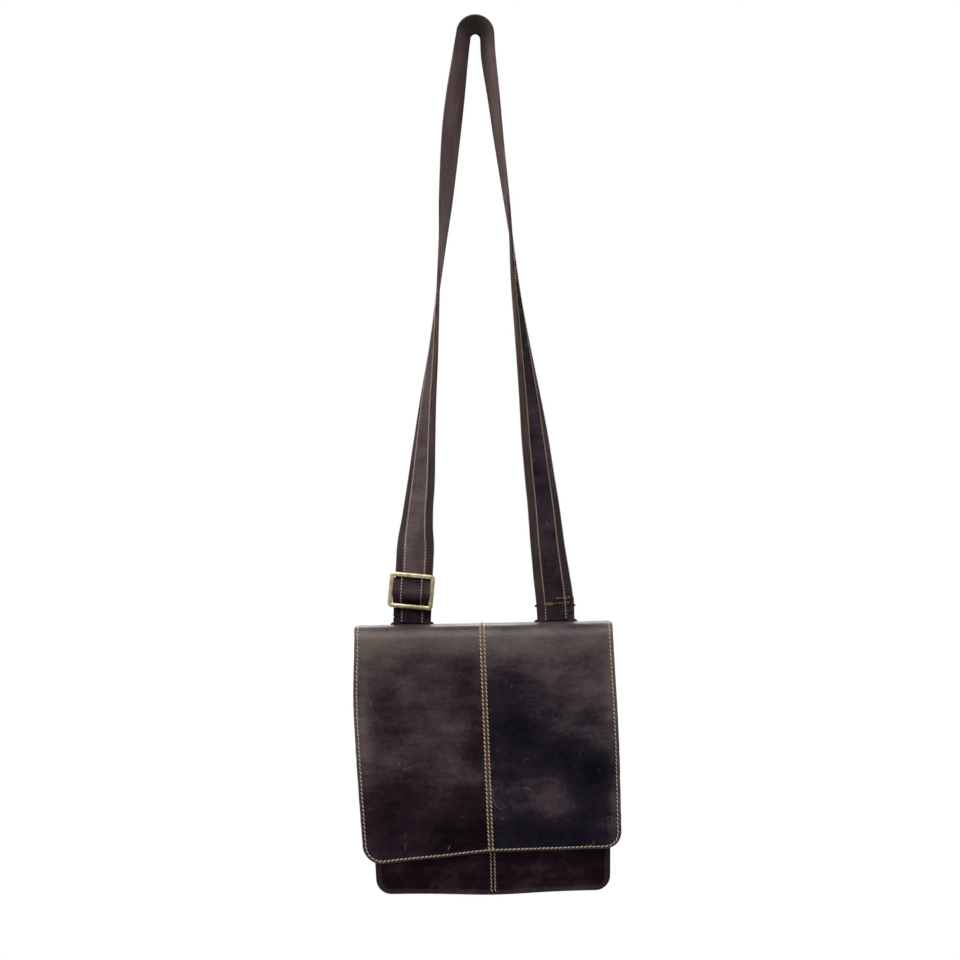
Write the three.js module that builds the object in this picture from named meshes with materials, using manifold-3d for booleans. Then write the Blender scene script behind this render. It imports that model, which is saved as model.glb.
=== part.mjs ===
// Slim flap-over crossbody bag of oiled leather, hanging by its shoulder strap.
// Millimetres, +Z up. The origin is where the top of the strap rests on a peg.
// The bag's front faces -Y, and its back panel's rear face is the plane y = 0.

import * as THREE from "three";
import { mergeVertices } from "three/addons/utils/BufferGeometryUtils.js";
import Module from "manifold-3d";

const wasm = await Module();
wasm.setup();

// ---------------------------------------------------------------- dimensions

const GAP = 0.3; // left between pieces that touch
const LEATHER = 2; // body and flap leather
const LINING = 0.6; // lining fabric

// Heights inside the bag are measured from the top edge of the back panel.
const BAG_TOP_Z = -599.7; // that edge, below the origin
const BODY_BOTTOM = -263;
const BODY_DEPTH = 40; // back panel's rear face to front panel's front face
const BODY_HALF_TOP = 123; // half the width at the mouth
const BODY_HALF_BOTTOM = 117;
const BODY_CORNER = 15;
const FRONT_TOP = -10; // the front panel ends lower than the back panel

// The bag hangs a little askew: its middle line is off centre and leans to the right.
const MIDDLE_X = 2.4; // where that line starts, at the top
const SKEW = 0.0075; // how far it moves sideways for each millimetre down

const FLAP_BEND = 15; // outer radius of the flap's front bend
const FLAP_BACK_Y = -1; // where it bends up from the yoke
const FLAP_TOP_Z = 3.2; // its upper face
const FLAP_FRONT_Y = -47; // its front face
// Its middle seam, from the bag's middle line, over the mouth and at its lower end.
const SEAM_TOP = -4.5;
const SEAM_END = -1.4;
const SEAM_LOW = -222.2; // height of that end
// Each side's lower edge, corner radius, and distance from the bag's middle line: over
// the mouth, a quarter and half of the way down, and at the lower corner.
const FLAP_SIDES = {
  left: { to: -1, low: -233.5, corner: 19, mouth: 132, quarter: 134.6, half: 133.4, end: 128.2 },
  right: { to: 1, low: -220.7, corner: 16, mouth: 125.7, quarter: 127.6, half: 129, end: 128.8 },
};
const FLAP_LINING_INSET = 6;

const STRAP_WIDTH = 38;
const WEBBING = 1.8;
const OVERLAY = 1.4;
const OVERLAY_WIDTH = 24;
const STRAP_X = 73; // each strap leg at its ring, from the middle
const STRAP_Y = 3.6; // webbing's middle plane at the rings
const STRAP_TOP_Y = -16; // the same plane at the peg
const STRAP_LEAN = Math.tan(THREE.MathUtils.degToRad(4.05)); // inward, up to the twist
const STRAP_START = 10.4; // height at which the legs leave the ring loops
const STRAP_STRAIGHT = 76; // height up to which the left leg is straight and flat

const WIRE = 1.4; // radius of the rings' wire
const RING_INNER_HALF = 19.5;
const RING_Y = STRAP_Y + WEBBING / 2 + GAP + WIRE; // bars stand behind the front layer
const RING_HIGH = 4; // upper bar
const RING_LOW = -8.5; // lower bar

const SLIDER_Z = 36.8; // slider's middle
const SLIDER_HALF_WIDTH = 22.9;
const SLIDER_HALF_HEIGHT = 18.1;
const SLIDER_BAR = 4.5;
const SLIDER_THICK = 3.6;
const SLIDER_TILT = THREE.MathUtils.degToRad(2.3); // it hangs a little crooked on the strap
const SLIDER_ASIDE = -1.9; // and a little to the left of its middle

const MAGNET_RADIUS = 8;
const MAGNET_X = 70;
const MAGNET_Z = -188;

// ----------------------------------------------------------------- materials

const material = (color, roughness, metalness) =>
  new THREE.MeshStandardMaterial({ color, roughness, metalness });

const leather = material("#40332f", 0.55, 0);
const strapLeather = material("#3c3236", 0.55, 0);
const webbing = material("#3a2624", 0.9, 0);
const fabric = material("#55483a", 0.95, 0);
const brass = material("#a3967b", 0.35, 1);
const blackSteel = material("#1b1a1c", 0.4, 1);
const steel = material("#8d8a84", 0.35, 1);

// ------------------------------------------------------------------- helpers

const part = new THREE.Group();
const bag = new THREE.Group();
bag.position.z = BAG_TOP_Z;
part.add(bag);

function add(parent, name, geometry, finish) {
  const mesh = new THREE.Mesh(geometry, finish);
  mesh.name = name;
  parent.add(mesh);
}

const X = new THREE.Vector3(1, 0, 0);
const Y = new THREE.Vector3(0, 1, 0);
const Z = new THREE.Vector3(0, 0, 1);
const MINUS_Y = new THREE.Vector3(0, -1, 0);

function extrude(outline, depth, bevel = 0) {
  const settings = {
    depth: depth - 2 * bevel,
    bevelEnabled: bevel > 0,
    bevelThickness: bevel,
    bevelSize: bevel,
    bevelOffset: -bevel,
    bevelSegments: 2,
    curveSegments: 6,
  };
  return new THREE.ExtrudeGeometry(outline, settings).translate(0, 0, bevel);
}

// A sheet whose outline is drawn in (x, z), from yBack forward to yFront.
function sheet(outline, yBack, yFront, bevel = 0) {
  const turned = new THREE.Matrix4().makeBasis(X, Z, MINUS_Y);
  return extrude(outline, yBack - yFront, bevel).applyMatrix4(turned).translate(0, yBack, 0);
}

// A strip whose section is drawn in (y, z), from xLeft to xRight.
function strip(section, xLeft, xRight) {
  const turned = new THREE.Matrix4().makeBasis(Y, Z, X);
  return extrude(section, xRight - xLeft).applyMatrix4(turned).translate(xLeft, 0, 0);
}

function arc(cu, cv, radius, fromDeg, toDeg, steps = 8) {
  const points = [];
  for (let i = 0; i <= steps; i += 1) {
    const angle = THREE.MathUtils.degToRad(fromDeg + ((toDeg - fromDeg) * i) / steps);
    points.push([cu + radius * Math.cos(angle), cv + radius * Math.sin(angle)]);
  }
  return points;
}

// A closed outline through corners [u, v, radius], each rounded by its radius.
function outline(corners) {
  const points = [];
  corners.forEach(([u, v, radius = 0], i) => {
    const corner = new THREE.Vector2(u, v);
    if (!radius) {
      points.push(corner);
      return;
    }
    const [before, after] = [corners.at(i - 1), corners[(i + 1) % corners.length]];
    const back = new THREE.Vector2(before[0], before[1]).sub(corner).normalize();
    const on = new THREE.Vector2(after[0], after[1]).sub(corner).normalize();
    const half = Math.acos(back.dot(on)) / 2;
    const middle = back.clone().add(on).normalize();
    const centre = corner.clone().addScaledVector(middle, radius / Math.sin(half));
    const reach = radius / Math.tan(half);
    const first = corner.clone().addScaledVector(back, reach).sub(centre).angle();
    const last = corner.clone().addScaledVector(on, reach).sub(centre).angle();
    const turn = Math.atan2(Math.sin(last - first), Math.cos(last - first));
    const steps = 6;
    for (let k = 0; k <= steps; k += 1) {
      const angle = first + (turn * k) / steps;
      const spoke = new THREE.Vector2(Math.cos(angle), Math.sin(angle));
      points.push(spoke.multiplyScalar(radius).add(centre));
    }
  });
  return new THREE.Shape(points);
}

// Moves a piece of the bag from its own middle line to where the bag hangs.
function askew(geometry) {
  const lean = new THREE.Matrix4().makeShear(0, 0, 0, 0, -SKEW, 0);
  return geometry.applyMatrix4(lean).translate(MIDDLE_X, 0, 0);
}

function rectangle(halfWidth, low, high, radius) {
  return outline([
    [-halfWidth, low, radius],
    [halfWidth, low, radius],
    [halfWidth, high, radius],
    [-halfWidth, high, radius],
  ]);
}

function toManifold(geometry) {
  const bare = geometry.clone();
  bare.deleteAttribute("normal");
  bare.deleteAttribute("uv");
  const merged = mergeVertices(bare, 1e-4);
  const mesh = new wasm.Mesh({
    numProp: 3,
    vertProperties: Float32Array.from(merged.attributes.position.array),
    triVerts: Uint32Array.from(merged.index.array),
  });
  return new wasm.Manifold(mesh);
}

function fromManifold(solid) {
  const mesh = solid.getMesh();
  const geometry = new THREE.BufferGeometry();
  geometry.setAttribute("position", new THREE.BufferAttribute(mesh.vertProperties, 3));
  geometry.setIndex(new THREE.BufferAttribute(mesh.triVerts, 1));
  return geometry;
}

// -------------------------------------------------------------------- bag

// Half the body's width at a height, drawn smaller by inset.
function bodyHalf(height, inset) {
  const widening = (BODY_HALF_TOP - BODY_HALF_BOTTOM) / -BODY_BOTTOM;
  return BODY_HALF_BOTTOM - inset + widening * (height - BODY_BOTTOM);
}

// Corners of the body's right side, from its top down to the bottom corner.
function bodySide(top, inset) {
  const low = BODY_BOTTOM + inset;
  return [
    [bodyHalf(top, inset), top, 0],
    [bodyHalf(low, inset), low, BODY_CORNER - inset],
  ];
}

const mirrored = (corners) => corners.map(([u, v, radius]) => [-u, v, radius]).reverse();

function bodyOutline(top, inset) {
  const side = bodySide(top, inset);
  return outline([...side, ...mirrored(side)]);
}

function addBackPanel() {
  add(bag, "back_panel", askew(sheet(bodyOutline(0, 0), 0, -LEATHER)), leather);
}

function addFrontPanels() {
  const half = [...bodySide(FRONT_TOP, 0), [GAP / 2, BODY_BOTTOM, 0], [GAP / 2, FRONT_TOP, 0]];
  const halves = { right: half, left: mirrored(half) };
  for (const [side, corners] of Object.entries(halves)) {
    const panel = sheet(outline(corners), -BODY_DEPTH + LEATHER, -BODY_DEPTH);
    add(bag, `front_panel_${side}`, askew(panel), leather);
  }
}

// One strip makes both sides and the bottom.
function addGusset() {
  const outer = bodySide(FRONT_TOP, 0);
  const inner = bodySide(FRONT_TOP, LEATHER);
  const corners = [...outer, ...mirrored(outer), ...mirrored(inner).reverse(), ...inner.reverse()];
  const yBack = -LEATHER - GAP;
  const yFront = -BODY_DEPTH + LEATHER + GAP;
  add(bag, "gusset", askew(sheet(outline(corners), yBack, yFront)), leather);
}

// A leather strip turned over the top edge of the front panel.
function addFrontBinding() {
  const thick = 1;
  const height = 12;
  const front = -BODY_DEPTH - GAP;
  const low = FRONT_TOP - height;
  const high = FRONT_TOP + GAP;
  const section = outline([
    [front - thick, low],
    [front, low],
    [front, high],
    [-BODY_DEPTH + LEATHER, high],
    [-BODY_DEPTH + LEATHER, high + thick],
    [front - thick, high + thick],
  ]);
  const half = bodyHalf(low, 0);
  add(bag, "front_binding", askew(strip(section, -half, half)), leather);
}

// The fabric bag inside, open at the top, with a slip pocket on its rear wall.
function addLining() {
  const inset = LEATHER + GAP;
  const above = 5;
  const outer = sheet(bodyOutline(FRONT_TOP, inset), -inset, -BODY_DEPTH + inset);
  const inner = sheet(
    bodyOutline(FRONT_TOP + above, inset + LINING),
    -inset - LINING,
    -BODY_DEPTH + inset + LINING,
  );
  const shell = toManifold(outer).subtract(toManifold(inner));
  add(bag, "lining", askew(fromManifold(shell)), fabric);

  const rear = -inset - LINING - GAP;
  const pocket = { half: 85, low: -165, high: -45, corner: 8 };
  const patch = rectangle(pocket.half, pocket.low, pocket.high, pocket.corner);
  add(bag, "inner_pocket", askew(sheet(patch, rear, rear - LINING)), fabric);
}

// The leather on the back panel from which the flap bends forward.
function addFlapYoke() {
  const rear = 1.9;
  const low = -50;
  const under = FLAP_TOP_Z - LEATHER;
  const end = FLAP_BACK_Y + GAP / 2;
  const section = outline([
    [GAP, low],
    [rear, low],
    [rear, FLAP_TOP_Z, 1.2],
    [end, FLAP_TOP_Z],
    [end, under],
    [GAP, under],
  ]);
  const half = bodyHalf(0, 0) - 1;
  add(bag, "flap_yoke", askew(strip(section, -half, half)), leather);
}

// Leather folded round a ring's lower bar and sewn down on the yoke.
function addRingTabs() {
  const leaf = 1.8;
  const halfWidth = 18.5;
  const front = 1.9 + GAP;
  const loop = WIRE + GAP + leaf;
  const section = outline([
    [front, -46],
    [front + 2 * leaf, -46],
    [front + 2 * leaf, -20],
    ...arc(RING_Y, RING_LOW, loop, -20, 180, 10),
    [front, RING_LOW - 7],
  ]);
  const bore = outline(arc(RING_Y, RING_LOW, WIRE + GAP, 0, 337.5, 15));
  section.holes.push(new THREE.Path(bore.getPoints()));
  for (const [side, x] of Object.entries({ left: -STRAP_X, right: STRAP_X })) {
    add(bag, `ring_tab_${side}`, strip(section, x - halfWidth, x + halfWidth), leather);
  }
}

function addMagnets() {
  const socket = { thick: 1.4, y: -BODY_DEPTH - GAP };
  const stud = { thick: 1.8, y: -BODY_DEPTH - 2 };
  for (const [side, x] of Object.entries({ left: -MAGNET_X, right: MAGNET_X })) {
    for (const [name, { thick, y }] of Object.entries({ socket, stud })) {
      const disc = new THREE.CylinderGeometry(MAGNET_RADIUS, MAGNET_RADIUS, thick, 24);
      disc.translate(x, y - thick / 2, MAGNET_Z);
      add(bag, `magnet_${name}_${side}`, disc, steel);
    }
  }
}

// ------------------------------------------------------------------- flap

const bendY = FLAP_FRONT_Y + FLAP_BEND;
const bendZ = FLAP_TOP_Z - FLAP_BEND;

// The flap's layer over the bag's mouth and round the front bend.
function flapTopSection(outerRadius, thick, yBack) {
  const innerRadius = outerRadius - thick;
  return outline([
    [yBack, bendZ + outerRadius],
    ...arc(bendY, bendZ, outerRadius, 90, 180),
    ...arc(bendY, bendZ, innerRadius, 180, 90),
    [yBack, bendZ + innerRadius],
  ]);
}

function addFlapTop() {
  const section = flapTopSection(FLAP_BEND, LEATHER, FLAP_BACK_Y - GAP / 2);
  const { left, right } = FLAP_SIDES;
  add(bag, "flap_top_left", askew(strip(section, -left.mouth, SEAM_TOP - GAP / 2)), leather);
  add(bag, "flap_top_right", askew(strip(section, SEAM_TOP + GAP / 2, right.mouth)), leather);
  const under = flapTopSection(FLAP_BEND - LEATHER - GAP, LINING, FLAP_BACK_Y - 3);
  const inset = FLAP_LINING_INSET;
  const lining = strip(under, inset - left.mouth, right.mouth - inset);
  add(bag, "flap_top_lining", askew(lining), fabric);
}

// Corners of one half of the hanging flap, from the top of its seam round to the
// bottom of its seam, drawn smaller by inset and as if it were on the right.
function flapFrontCorners({ to, low, corner, mouth, quarter, half, end }, inset) {
  const top = bendZ - GAP;
  const aside = inset ? 0 : GAP / 2;
  return [
    [to * SEAM_TOP + aside, top, 0],
    [mouth - inset, top, 0],
    [quarter - inset, top + (low - top) / 4, 0],
    [half - inset, top + (low - top) / 2, 0],
    [end - inset, low + inset, corner - inset / 2],
    [to * SEAM_END + aside, SEAM_LOW + inset, 0],
  ];
}

function addFlapFront() {
  const { left, right } = FLAP_SIDES;
  const yBack = FLAP_FRONT_Y + LEATHER;
  const halves = {
    flap_front_left: mirrored(flapFrontCorners(left, 0)),
    flap_front_right: flapFrontCorners(right, 0),
  };
  for (const [name, corners] of Object.entries(halves)) {
    add(bag, name, askew(sheet(outline(corners), yBack, FLAP_FRONT_Y)), leather);
  }
  const liningRight = flapFrontCorners(right, FLAP_LINING_INSET).slice(1);
  const liningLeft = mirrored(flapFrontCorners(left, FLAP_LINING_INSET).slice(1, -1));
  const shape = outline([...liningRight, ...liningLeft]);
  const lining = sheet(shape, yBack + GAP + LINING, yBack + GAP);
  add(bag, "flap_front_lining", askew(lining), fabric);
}

// ------------------------------------------------------------------ strap

// The strap's route from the left ring over the peg to the right ring. Each stop gives
// a height, and for each leg its distance from the middle and how far it has turned:
// 0 faces forward, 90 stands on edge with its outer face outward.
const legX = (height) => STRAP_X - STRAP_LEAN * (height - STRAP_START);
const STRAP_STOPS = [
  { height: STRAP_START, left: [STRAP_X, 0], right: [STRAP_X, 0] },
  { height: 30, left: [legX(30), 0], right: [legX(30), 3] },
  { height: 50, left: [legX(50), 0], right: [69.2, 12] },
  { height: 68, left: [legX(68), 0], right: [67.2, 20] },
  { height: STRAP_STRAIGHT, left: [legX(STRAP_STRAIGHT), 1], right: [66.3, 22] },
  { height: 85, left: [67.7, 11], right: [65.4, 24] },
  { height: 98, left: [66.7, 25], right: [64.4, 27] },
  { height: 108, left: [65.6, 32], right: [63.5, 29] },
  { height: 123, left: [64, 38], right: [62.2, 32] },
  { height: 149, left: [60.7, 44], right: [59.3, 37] },
  { height: 189, left: [56.8, 55], right: [55.2, 44] },
  { height: 230, left: [52.4, 65], right: [51, 55] },
  { height: 271, left: [47.2, 74], right: [46.3, 65] },
  { height: 311, left: [42.5, 83], right: [41.7, 73] },
  { height: 352, left: [38.2, 91], right: [37.4, 80] },
  { height: 392, left: [34.2, 99], right: [34.2, 88] },
  { height: 433, left: [30.3, 109], right: [30.5, 95] },
  { height: 493, left: [24.2, 117], right: [24.1, 102] },
  { height: 534, left: [18.9, 117], right: [20, 106] },
  { height: 574, left: [13.1, 112], right: [15.5, 110] },
];
const ARCH = { middle: 2.4, height: 594.5, halfWidth: 12.2, rise: 12.5, turn: 110, steps: 8 };
const ARCH_TOP = ARCH.height + ARCH.rise;

// The legs come forward on their way up, so that the bag hangs plumb under the peg.
function strapY(height) {
  const way = THREE.MathUtils.smoothstep(height, STRAP_STRAIGHT, ARCH_TOP);
  return THREE.MathUtils.lerp(STRAP_Y, STRAP_TOP_Y, way);
}

function strapRoute() {
  const stops = STRAP_STOPS.map(({ height, left: [x, turn] }) => [-x, height, turn]);
  for (let i = 0; i <= ARCH.steps; i += 1) {
    const angle = (Math.PI * i) / ARCH.steps;
    const height = ARCH.height + ARCH.rise * Math.sin(angle);
    stops.push([ARCH.middle - ARCH.halfWidth * Math.cos(angle), height, ARCH.turn]);
  }
  stops.push(...STRAP_STOPS.map(({ height, right: [x, turn] }) => [x, height, turn]).reverse());
  const places = stops.map(([x, height]) => new THREE.Vector3(x, strapY(height), height));
  const turns = stops.map(([, , turn]) => new THREE.Vector3(turn, 0, 0));
  return {
    count: 2 * (stops.length - 1),
    place: new THREE.CatmullRomCurve3(places, false, "catmullrom", 0.5),
    turn: new THREE.CatmullRomCurve3(turns, false, "catmullrom", 0.5),
  };
}

// A flat band along the strap's route, with its section's points at these places
// across it. offset moves it out from the webbing's middle.
function band(places, thick, offset) {
  const route = strapRoute();
  const inner = places.map((across) => [across, offset - thick / 2]);
  const outer = places.map((across) => [across, offset + thick / 2]).reverse();
  const section = [...inner, ...outer];
  const corners = [];
  for (let i = 0; i <= route.count; i += 1) {
    const u = i / route.count;
    const along = route.place.getTangent(u);
    const turn = THREE.MathUtils.degToRad(route.turn.getPoint(u).x);
    const outward = new THREE.Vector3(-along.z, 0, along.x).normalize();
    const toward = along.clone().cross(outward).normalize();
    const normal = toward.clone().multiplyScalar(Math.cos(turn));
    normal.addScaledVector(outward, Math.sin(turn));
    const side = toward.clone().multiplyScalar(Math.sin(turn));
    side.addScaledVector(outward, -Math.cos(turn));
    for (const [across, out] of section) {
      const corner = route.place.getPoint(u);
      corners.push(corner.addScaledVector(side, across).addScaledVector(normal, out));
    }
  }
  const count = section.length;
  const faces = [];
  for (let i = 0; i < route.count; i += 1) {
    for (let k = 0; k < count; k += 1) {
      const [a, b] = [count * i + k, count * i + ((k + 1) % count)];
      // both faces of the band are split along the same diagonal, so layers stay parallel
      if (k < places.length) faces.push(a, b + count, b, a, a + count, b + count);
      else faces.push(a, a + count, b, b, a + count, b + count);
    }
  }
  const last = count * route.count;
  for (let k = 0; k < places.length - 1; k += 1) {
    const [a, b, c, d] = [k, k + 1, count - 2 - k, count - 1 - k];
    faces.push(a, b, c, a, c, d, last + a, last + c, last + b, last + a, last + d, last + c);
  }
  const geometry = new THREE.BufferGeometry().setFromPoints(corners);
  geometry.setIndex(faces);
  return geometry;
}

// The webbing's turn under a ring's upper bar; its inner layer ends at innerTop.
function ringLoop(x, innerTop) {
  const inner = WIRE + GAP;
  const outer = inner + WEBBING;
  const outerTop = STRAP_START - 1.7;
  const section = outline([
    [RING_Y - outer, outerTop],
    ...arc(RING_Y, RING_HIGH, outer, 180, 360, 12),
    [RING_Y + outer, innerTop],
    [RING_Y + inner, innerTop],
    ...arc(RING_Y, RING_HIGH, inner, 360, 180, 12),
    [RING_Y - inner, outerTop],
  ]);
  return strip(section, x - STRAP_WIDTH / 2, x + STRAP_WIDTH / 2);
}

function addStrap() {
  const [edge, seam] = [STRAP_WIDTH / 2, OVERLAY_WIDTH / 2];
  add(bag, "strap_webbing", band([-edge, -seam, seam, edge], WEBBING, 0), webbing);
  const overlayOffset = (WEBBING + OVERLAY) / 2 + GAP;
  add(bag, "strap_overlay", band([-seam, seam], OVERLAY, overlayOffset), strapLeather);
  add(bag, "strap_loop_left", ringLoop(-STRAP_X, STRAP_START - 1.7), webbing);
  add(bag, "strap_end_right", ringLoop(STRAP_X, 27), webbing);
}

// ---------------------------------------------------------- slider and rings

// Pieces at the slider lean with the left leg of the strap.
const atSlider = new THREE.Group();
atSlider.position.set(-legX(SLIDER_Z), 0, SLIDER_Z);
atSlider.rotation.y = Math.atan(STRAP_LEAN);
bag.add(atSlider);

const strapFront = STRAP_Y - WEBBING / 2 - GAP - OVERLAY;

function addSlider() {
  const bevel = 0.9;
  const frame = rectangle(SLIDER_HALF_WIDTH, -SLIDER_HALF_HEIGHT, SLIDER_HALF_HEIGHT, 2.6);
  const windowHalf = SLIDER_HALF_WIDTH - SLIDER_BAR;
  const windowHigh = SLIDER_HALF_HEIGHT - SLIDER_BAR;
  const middle = SLIDER_BAR / 2;
  for (const [low, high] of [[middle, windowHigh], [-windowHigh, -middle]]) {
    frame.holes.push(new THREE.Path(rectangle(windowHalf, low, high, 0.9).getPoints()));
  }
  const yBack = strapFront - GAP;
  const buckle = sheet(frame, yBack, yBack - SLIDER_THICK, bevel).rotateY(SLIDER_TILT);
  add(atSlider, "slider_buckle", buckle.translate(SLIDER_ASIDE, 0, 0), brass);
}

// The strap where it rises over the slider's middle bar, between the outer two.
function addStrapFold() {
  const thick = WEBBING + OVERLAY;
  const yBack = strapFront - GAP;
  const crest = yBack - SLIDER_THICK - GAP - thick;
  const halfHigh = SLIDER_HALF_HEIGHT - SLIDER_BAR - 1.4;
  const rise = yBack - crest;
  const outer = (halfHigh ** 2 + rise ** 2) / (2 * rise);
  const inner = outer - thick;
  const centre = crest + outer;
  const reach = (radius) => THREE.MathUtils.radToDeg(Math.acos((centre - yBack) / radius));
  const section = outline([
    ...arc(centre, 0, outer, 180 - reach(outer), 180 + reach(outer), 12),
    ...arc(centre, 0, inner, 180 + reach(inner), 180 - reach(inner), 12),
  ]);
  const half = STRAP_WIDTH / 2 - 1.9;
  const fold = strip(section, SLIDER_ASIDE - half, SLIDER_ASIDE + half);
  add(atSlider, "strap_fold", fold, strapLeather);
}

// The inner layer that comes back up from the left ring to the slider.
function addStrapReturn() {
  const yInner = RING_Y + WIRE + GAP;
  const low = STRAP_START - SLIDER_Z;
  const section = outline([
    [yInner, low],
    [yInner + WEBBING, low],
    [yInner + WEBBING, 0],
    [yInner, 0],
  ]);
  add(atSlider, "strap_return_left", strip(section, -STRAP_WIDTH / 2, STRAP_WIDTH / 2), webbing);
}

function addRings() {
  const outerHalf = RING_INNER_HALF + 2 * WIRE;
  const bevel = 0.8;
  const ring = rectangle(outerHalf, RING_LOW - WIRE, RING_HIGH + WIRE, 3);
  const inside = rectangle(RING_INNER_HALF, RING_LOW + WIRE, RING_HIGH - WIRE, 0.9);
  ring.holes.push(new THREE.Path(inside.getPoints()));
  for (const [side, x] of Object.entries({ left: -STRAP_X, right: STRAP_X })) {
    const wire = sheet(ring, RING_Y + WIRE, RING_Y - WIRE, bevel).translate(x, 0, 0);
    add(bag, `ring_${side}`, wire, blackSteel);
  }
}

addBackPanel();
addFrontPanels();
addGusset();
addFrontBinding();
addLining();
addFlapYoke();
addRingTabs();
addMagnets();
addFlapTop();
addFlapFront();
addStrap();
addSlider();
addStrapFold();
addStrapReturn();
addRings();

export default part;
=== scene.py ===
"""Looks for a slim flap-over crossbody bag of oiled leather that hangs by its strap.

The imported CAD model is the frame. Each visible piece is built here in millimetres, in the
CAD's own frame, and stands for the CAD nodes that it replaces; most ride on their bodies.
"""

import math

import bpy
from mathutils import Matrix, Vector, noise


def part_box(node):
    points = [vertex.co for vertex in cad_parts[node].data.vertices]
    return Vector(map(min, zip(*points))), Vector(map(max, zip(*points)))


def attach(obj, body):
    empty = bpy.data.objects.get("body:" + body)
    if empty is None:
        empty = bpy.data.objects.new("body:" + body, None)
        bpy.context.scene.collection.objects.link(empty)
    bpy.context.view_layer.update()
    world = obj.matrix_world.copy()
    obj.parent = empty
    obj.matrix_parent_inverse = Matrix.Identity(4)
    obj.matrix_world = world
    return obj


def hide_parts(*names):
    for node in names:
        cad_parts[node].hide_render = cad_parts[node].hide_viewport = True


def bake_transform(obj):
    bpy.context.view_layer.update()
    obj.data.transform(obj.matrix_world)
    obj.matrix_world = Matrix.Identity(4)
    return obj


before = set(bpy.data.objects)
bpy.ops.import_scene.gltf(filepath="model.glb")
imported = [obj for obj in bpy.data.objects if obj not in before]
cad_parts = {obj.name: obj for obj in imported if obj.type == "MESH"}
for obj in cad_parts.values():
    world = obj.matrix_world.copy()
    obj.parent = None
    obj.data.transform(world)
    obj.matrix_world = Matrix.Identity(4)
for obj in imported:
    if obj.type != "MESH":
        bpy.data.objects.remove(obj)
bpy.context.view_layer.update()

MM = 0.001


def box_mm(node):
    """Lowest and highest corner of a CAD node, in millimetres."""
    low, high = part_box(node)
    return low / MM, high / MM


# ---------------------------------------------------------------- dimensions
# All lengths are millimetres. Heights with no other word are measured from the top edge
# of the bag's back panel, as in the CAD model.

BACK_LOW, BACK_HIGH = box_mm("back_panel")
BAG_TOP = BACK_HIGH.z
LEATHER = 2.0
LINING = 0.6
GAP = 0.3  # between pieces that touch

MIDDLE_X = 2.4  # the bag's middle line at its top, and how fast it drifts going down
SKEW = 0.0075

BODY_LOW = BACK_LOW.z - BAG_TOP
BODY_FRONT = box_mm("front_panel_left")[0].y
BODY_HALF_TOP = 123.0
BODY_HALF_BOTTOM = 117.0
BODY_CORNER = 15.0
BODY_ROLL = 6.0  # radius of its turned edges
FRONT_TOP = box_mm("front_panel_left")[1].z - BAG_TOP

FLAP_TOP = box_mm("flap_top_left")[1].z - BAG_TOP
FLAP_FRONT = box_mm("flap_front_left")[0].y
FLAP_BEND = 15.0
SEAM_TOP = -4.5  # the flap's middle seam, from the bag's middle line, and its lower end
SEAM_END = -1.4
SEAM_LOW = -222.2
FLAP_SIDES = {
    "left": {"to": -1, "low": -233.5, "corner": 19.0, "widths": (132, 134.6, 133.4, 131, 128.2)},
    "right": {"to": 1, "low": -220.7, "corner": 16.0, "widths": (125.7, 127.6, 129, 129, 128.8)},
}
FLAP_SPLIT_Y = -19.0  # where its back and front pieces meet, on top of the bag
YOKE_LOW = box_mm("flap_yoke")[0].z - BAG_TOP

STRAP_WIDTH = 38.0
WEBBING = 1.8
OVERLAY = 1.4
OVERLAY_WIDTH = 24.0
OVERLAY_GAP = 0.05  # between the webbing and the leather strip
OVERLAY_FACE = WEBBING / 2 + OVERLAY_GAP + OVERLAY  # from the webbing's middle
STRAP_X = 73.0
STRAP_Y = 3.6
STRAP_TOP_Y = -16.0
STRAP_ANGLE = math.radians(4.05)
STRAP_START = 10.4
STRAP_STRAIGHT = 76.0
STRAP_ROWS = 10.2  # its two rows of stitches, from its middle
STRIP_CLEAR = 1.5  # gap left between the leather strip's ends and the flap
WEFT_LOOP = 2.4  # spacing of the webbing's weft loops along its edges

SEAM_ROWS = 1.9  # the two rows either side of the flap's seam
EDGE_ROW = 3.4  # the row along the flap's edges
STITCH_PITCH = 4.2
STITCH_LENGTH = 3.9
STITCH_RADIUS = 0.56
STITCH_SLANT = -0.7  # each stitch leans across its row by this much at both ends
STRAP_SEWING = {"pitch": 3.2, "length": 2.6, "radius": 0.46, "slant": -0.35}


# ------------------------------------------------------------------- helpers


def lerp(a, b, share):
    return a + (b - a) * share


def smoothstep(value, low, high):
    share = min(1.0, max(0.0, (value - low) / (high - low)))
    return share * share * (3 - 2 * share)


def spread(low, high, count):
    """count + 1 evenly spaced values from low to high."""
    return [lerp(low, high, i / count) for i in range(count + 1)]


def waver(x, y, size, seed):
    """Smooth unevenness from -1 to 1 whose lumps are about size across."""
    return noise.noise(Vector((x / size, y / size, seed * 7.31)))


def catmull(points, position):
    """Uniform Catmull-Rom spline through vectors, position from 0 to len(points) - 1."""
    last = len(points) - 1
    i = min(int(position), last - 1)
    t = position - i
    p1, p2 = points[i], points[i + 1]
    p0 = points[i - 1] if i > 0 else p1 * 2 - p2
    p3 = points[i + 2] if i + 2 <= last else p2 * 2 - p1
    cubic = (p1 * 3 - p0 - p2 * 3 + p3) * t**3
    square = (p0 * 2 - p1 * 5 + p2 * 4 - p3) * t**2
    return (cubic + square + (p2 - p0) * t + p1 * 2) / 2


def angles(start, end, count):
    """count + 1 evenly spaced angles between two given in degrees, in radians."""
    return [math.radians(a) for a in spread(start, end, count)]


def straight(start, end, normal, count):
    """A path of count + 1 (point, normal) on a straight line."""
    return [(start.lerp(end, share), normal) for share in spread(0, 1, count)]


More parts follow.
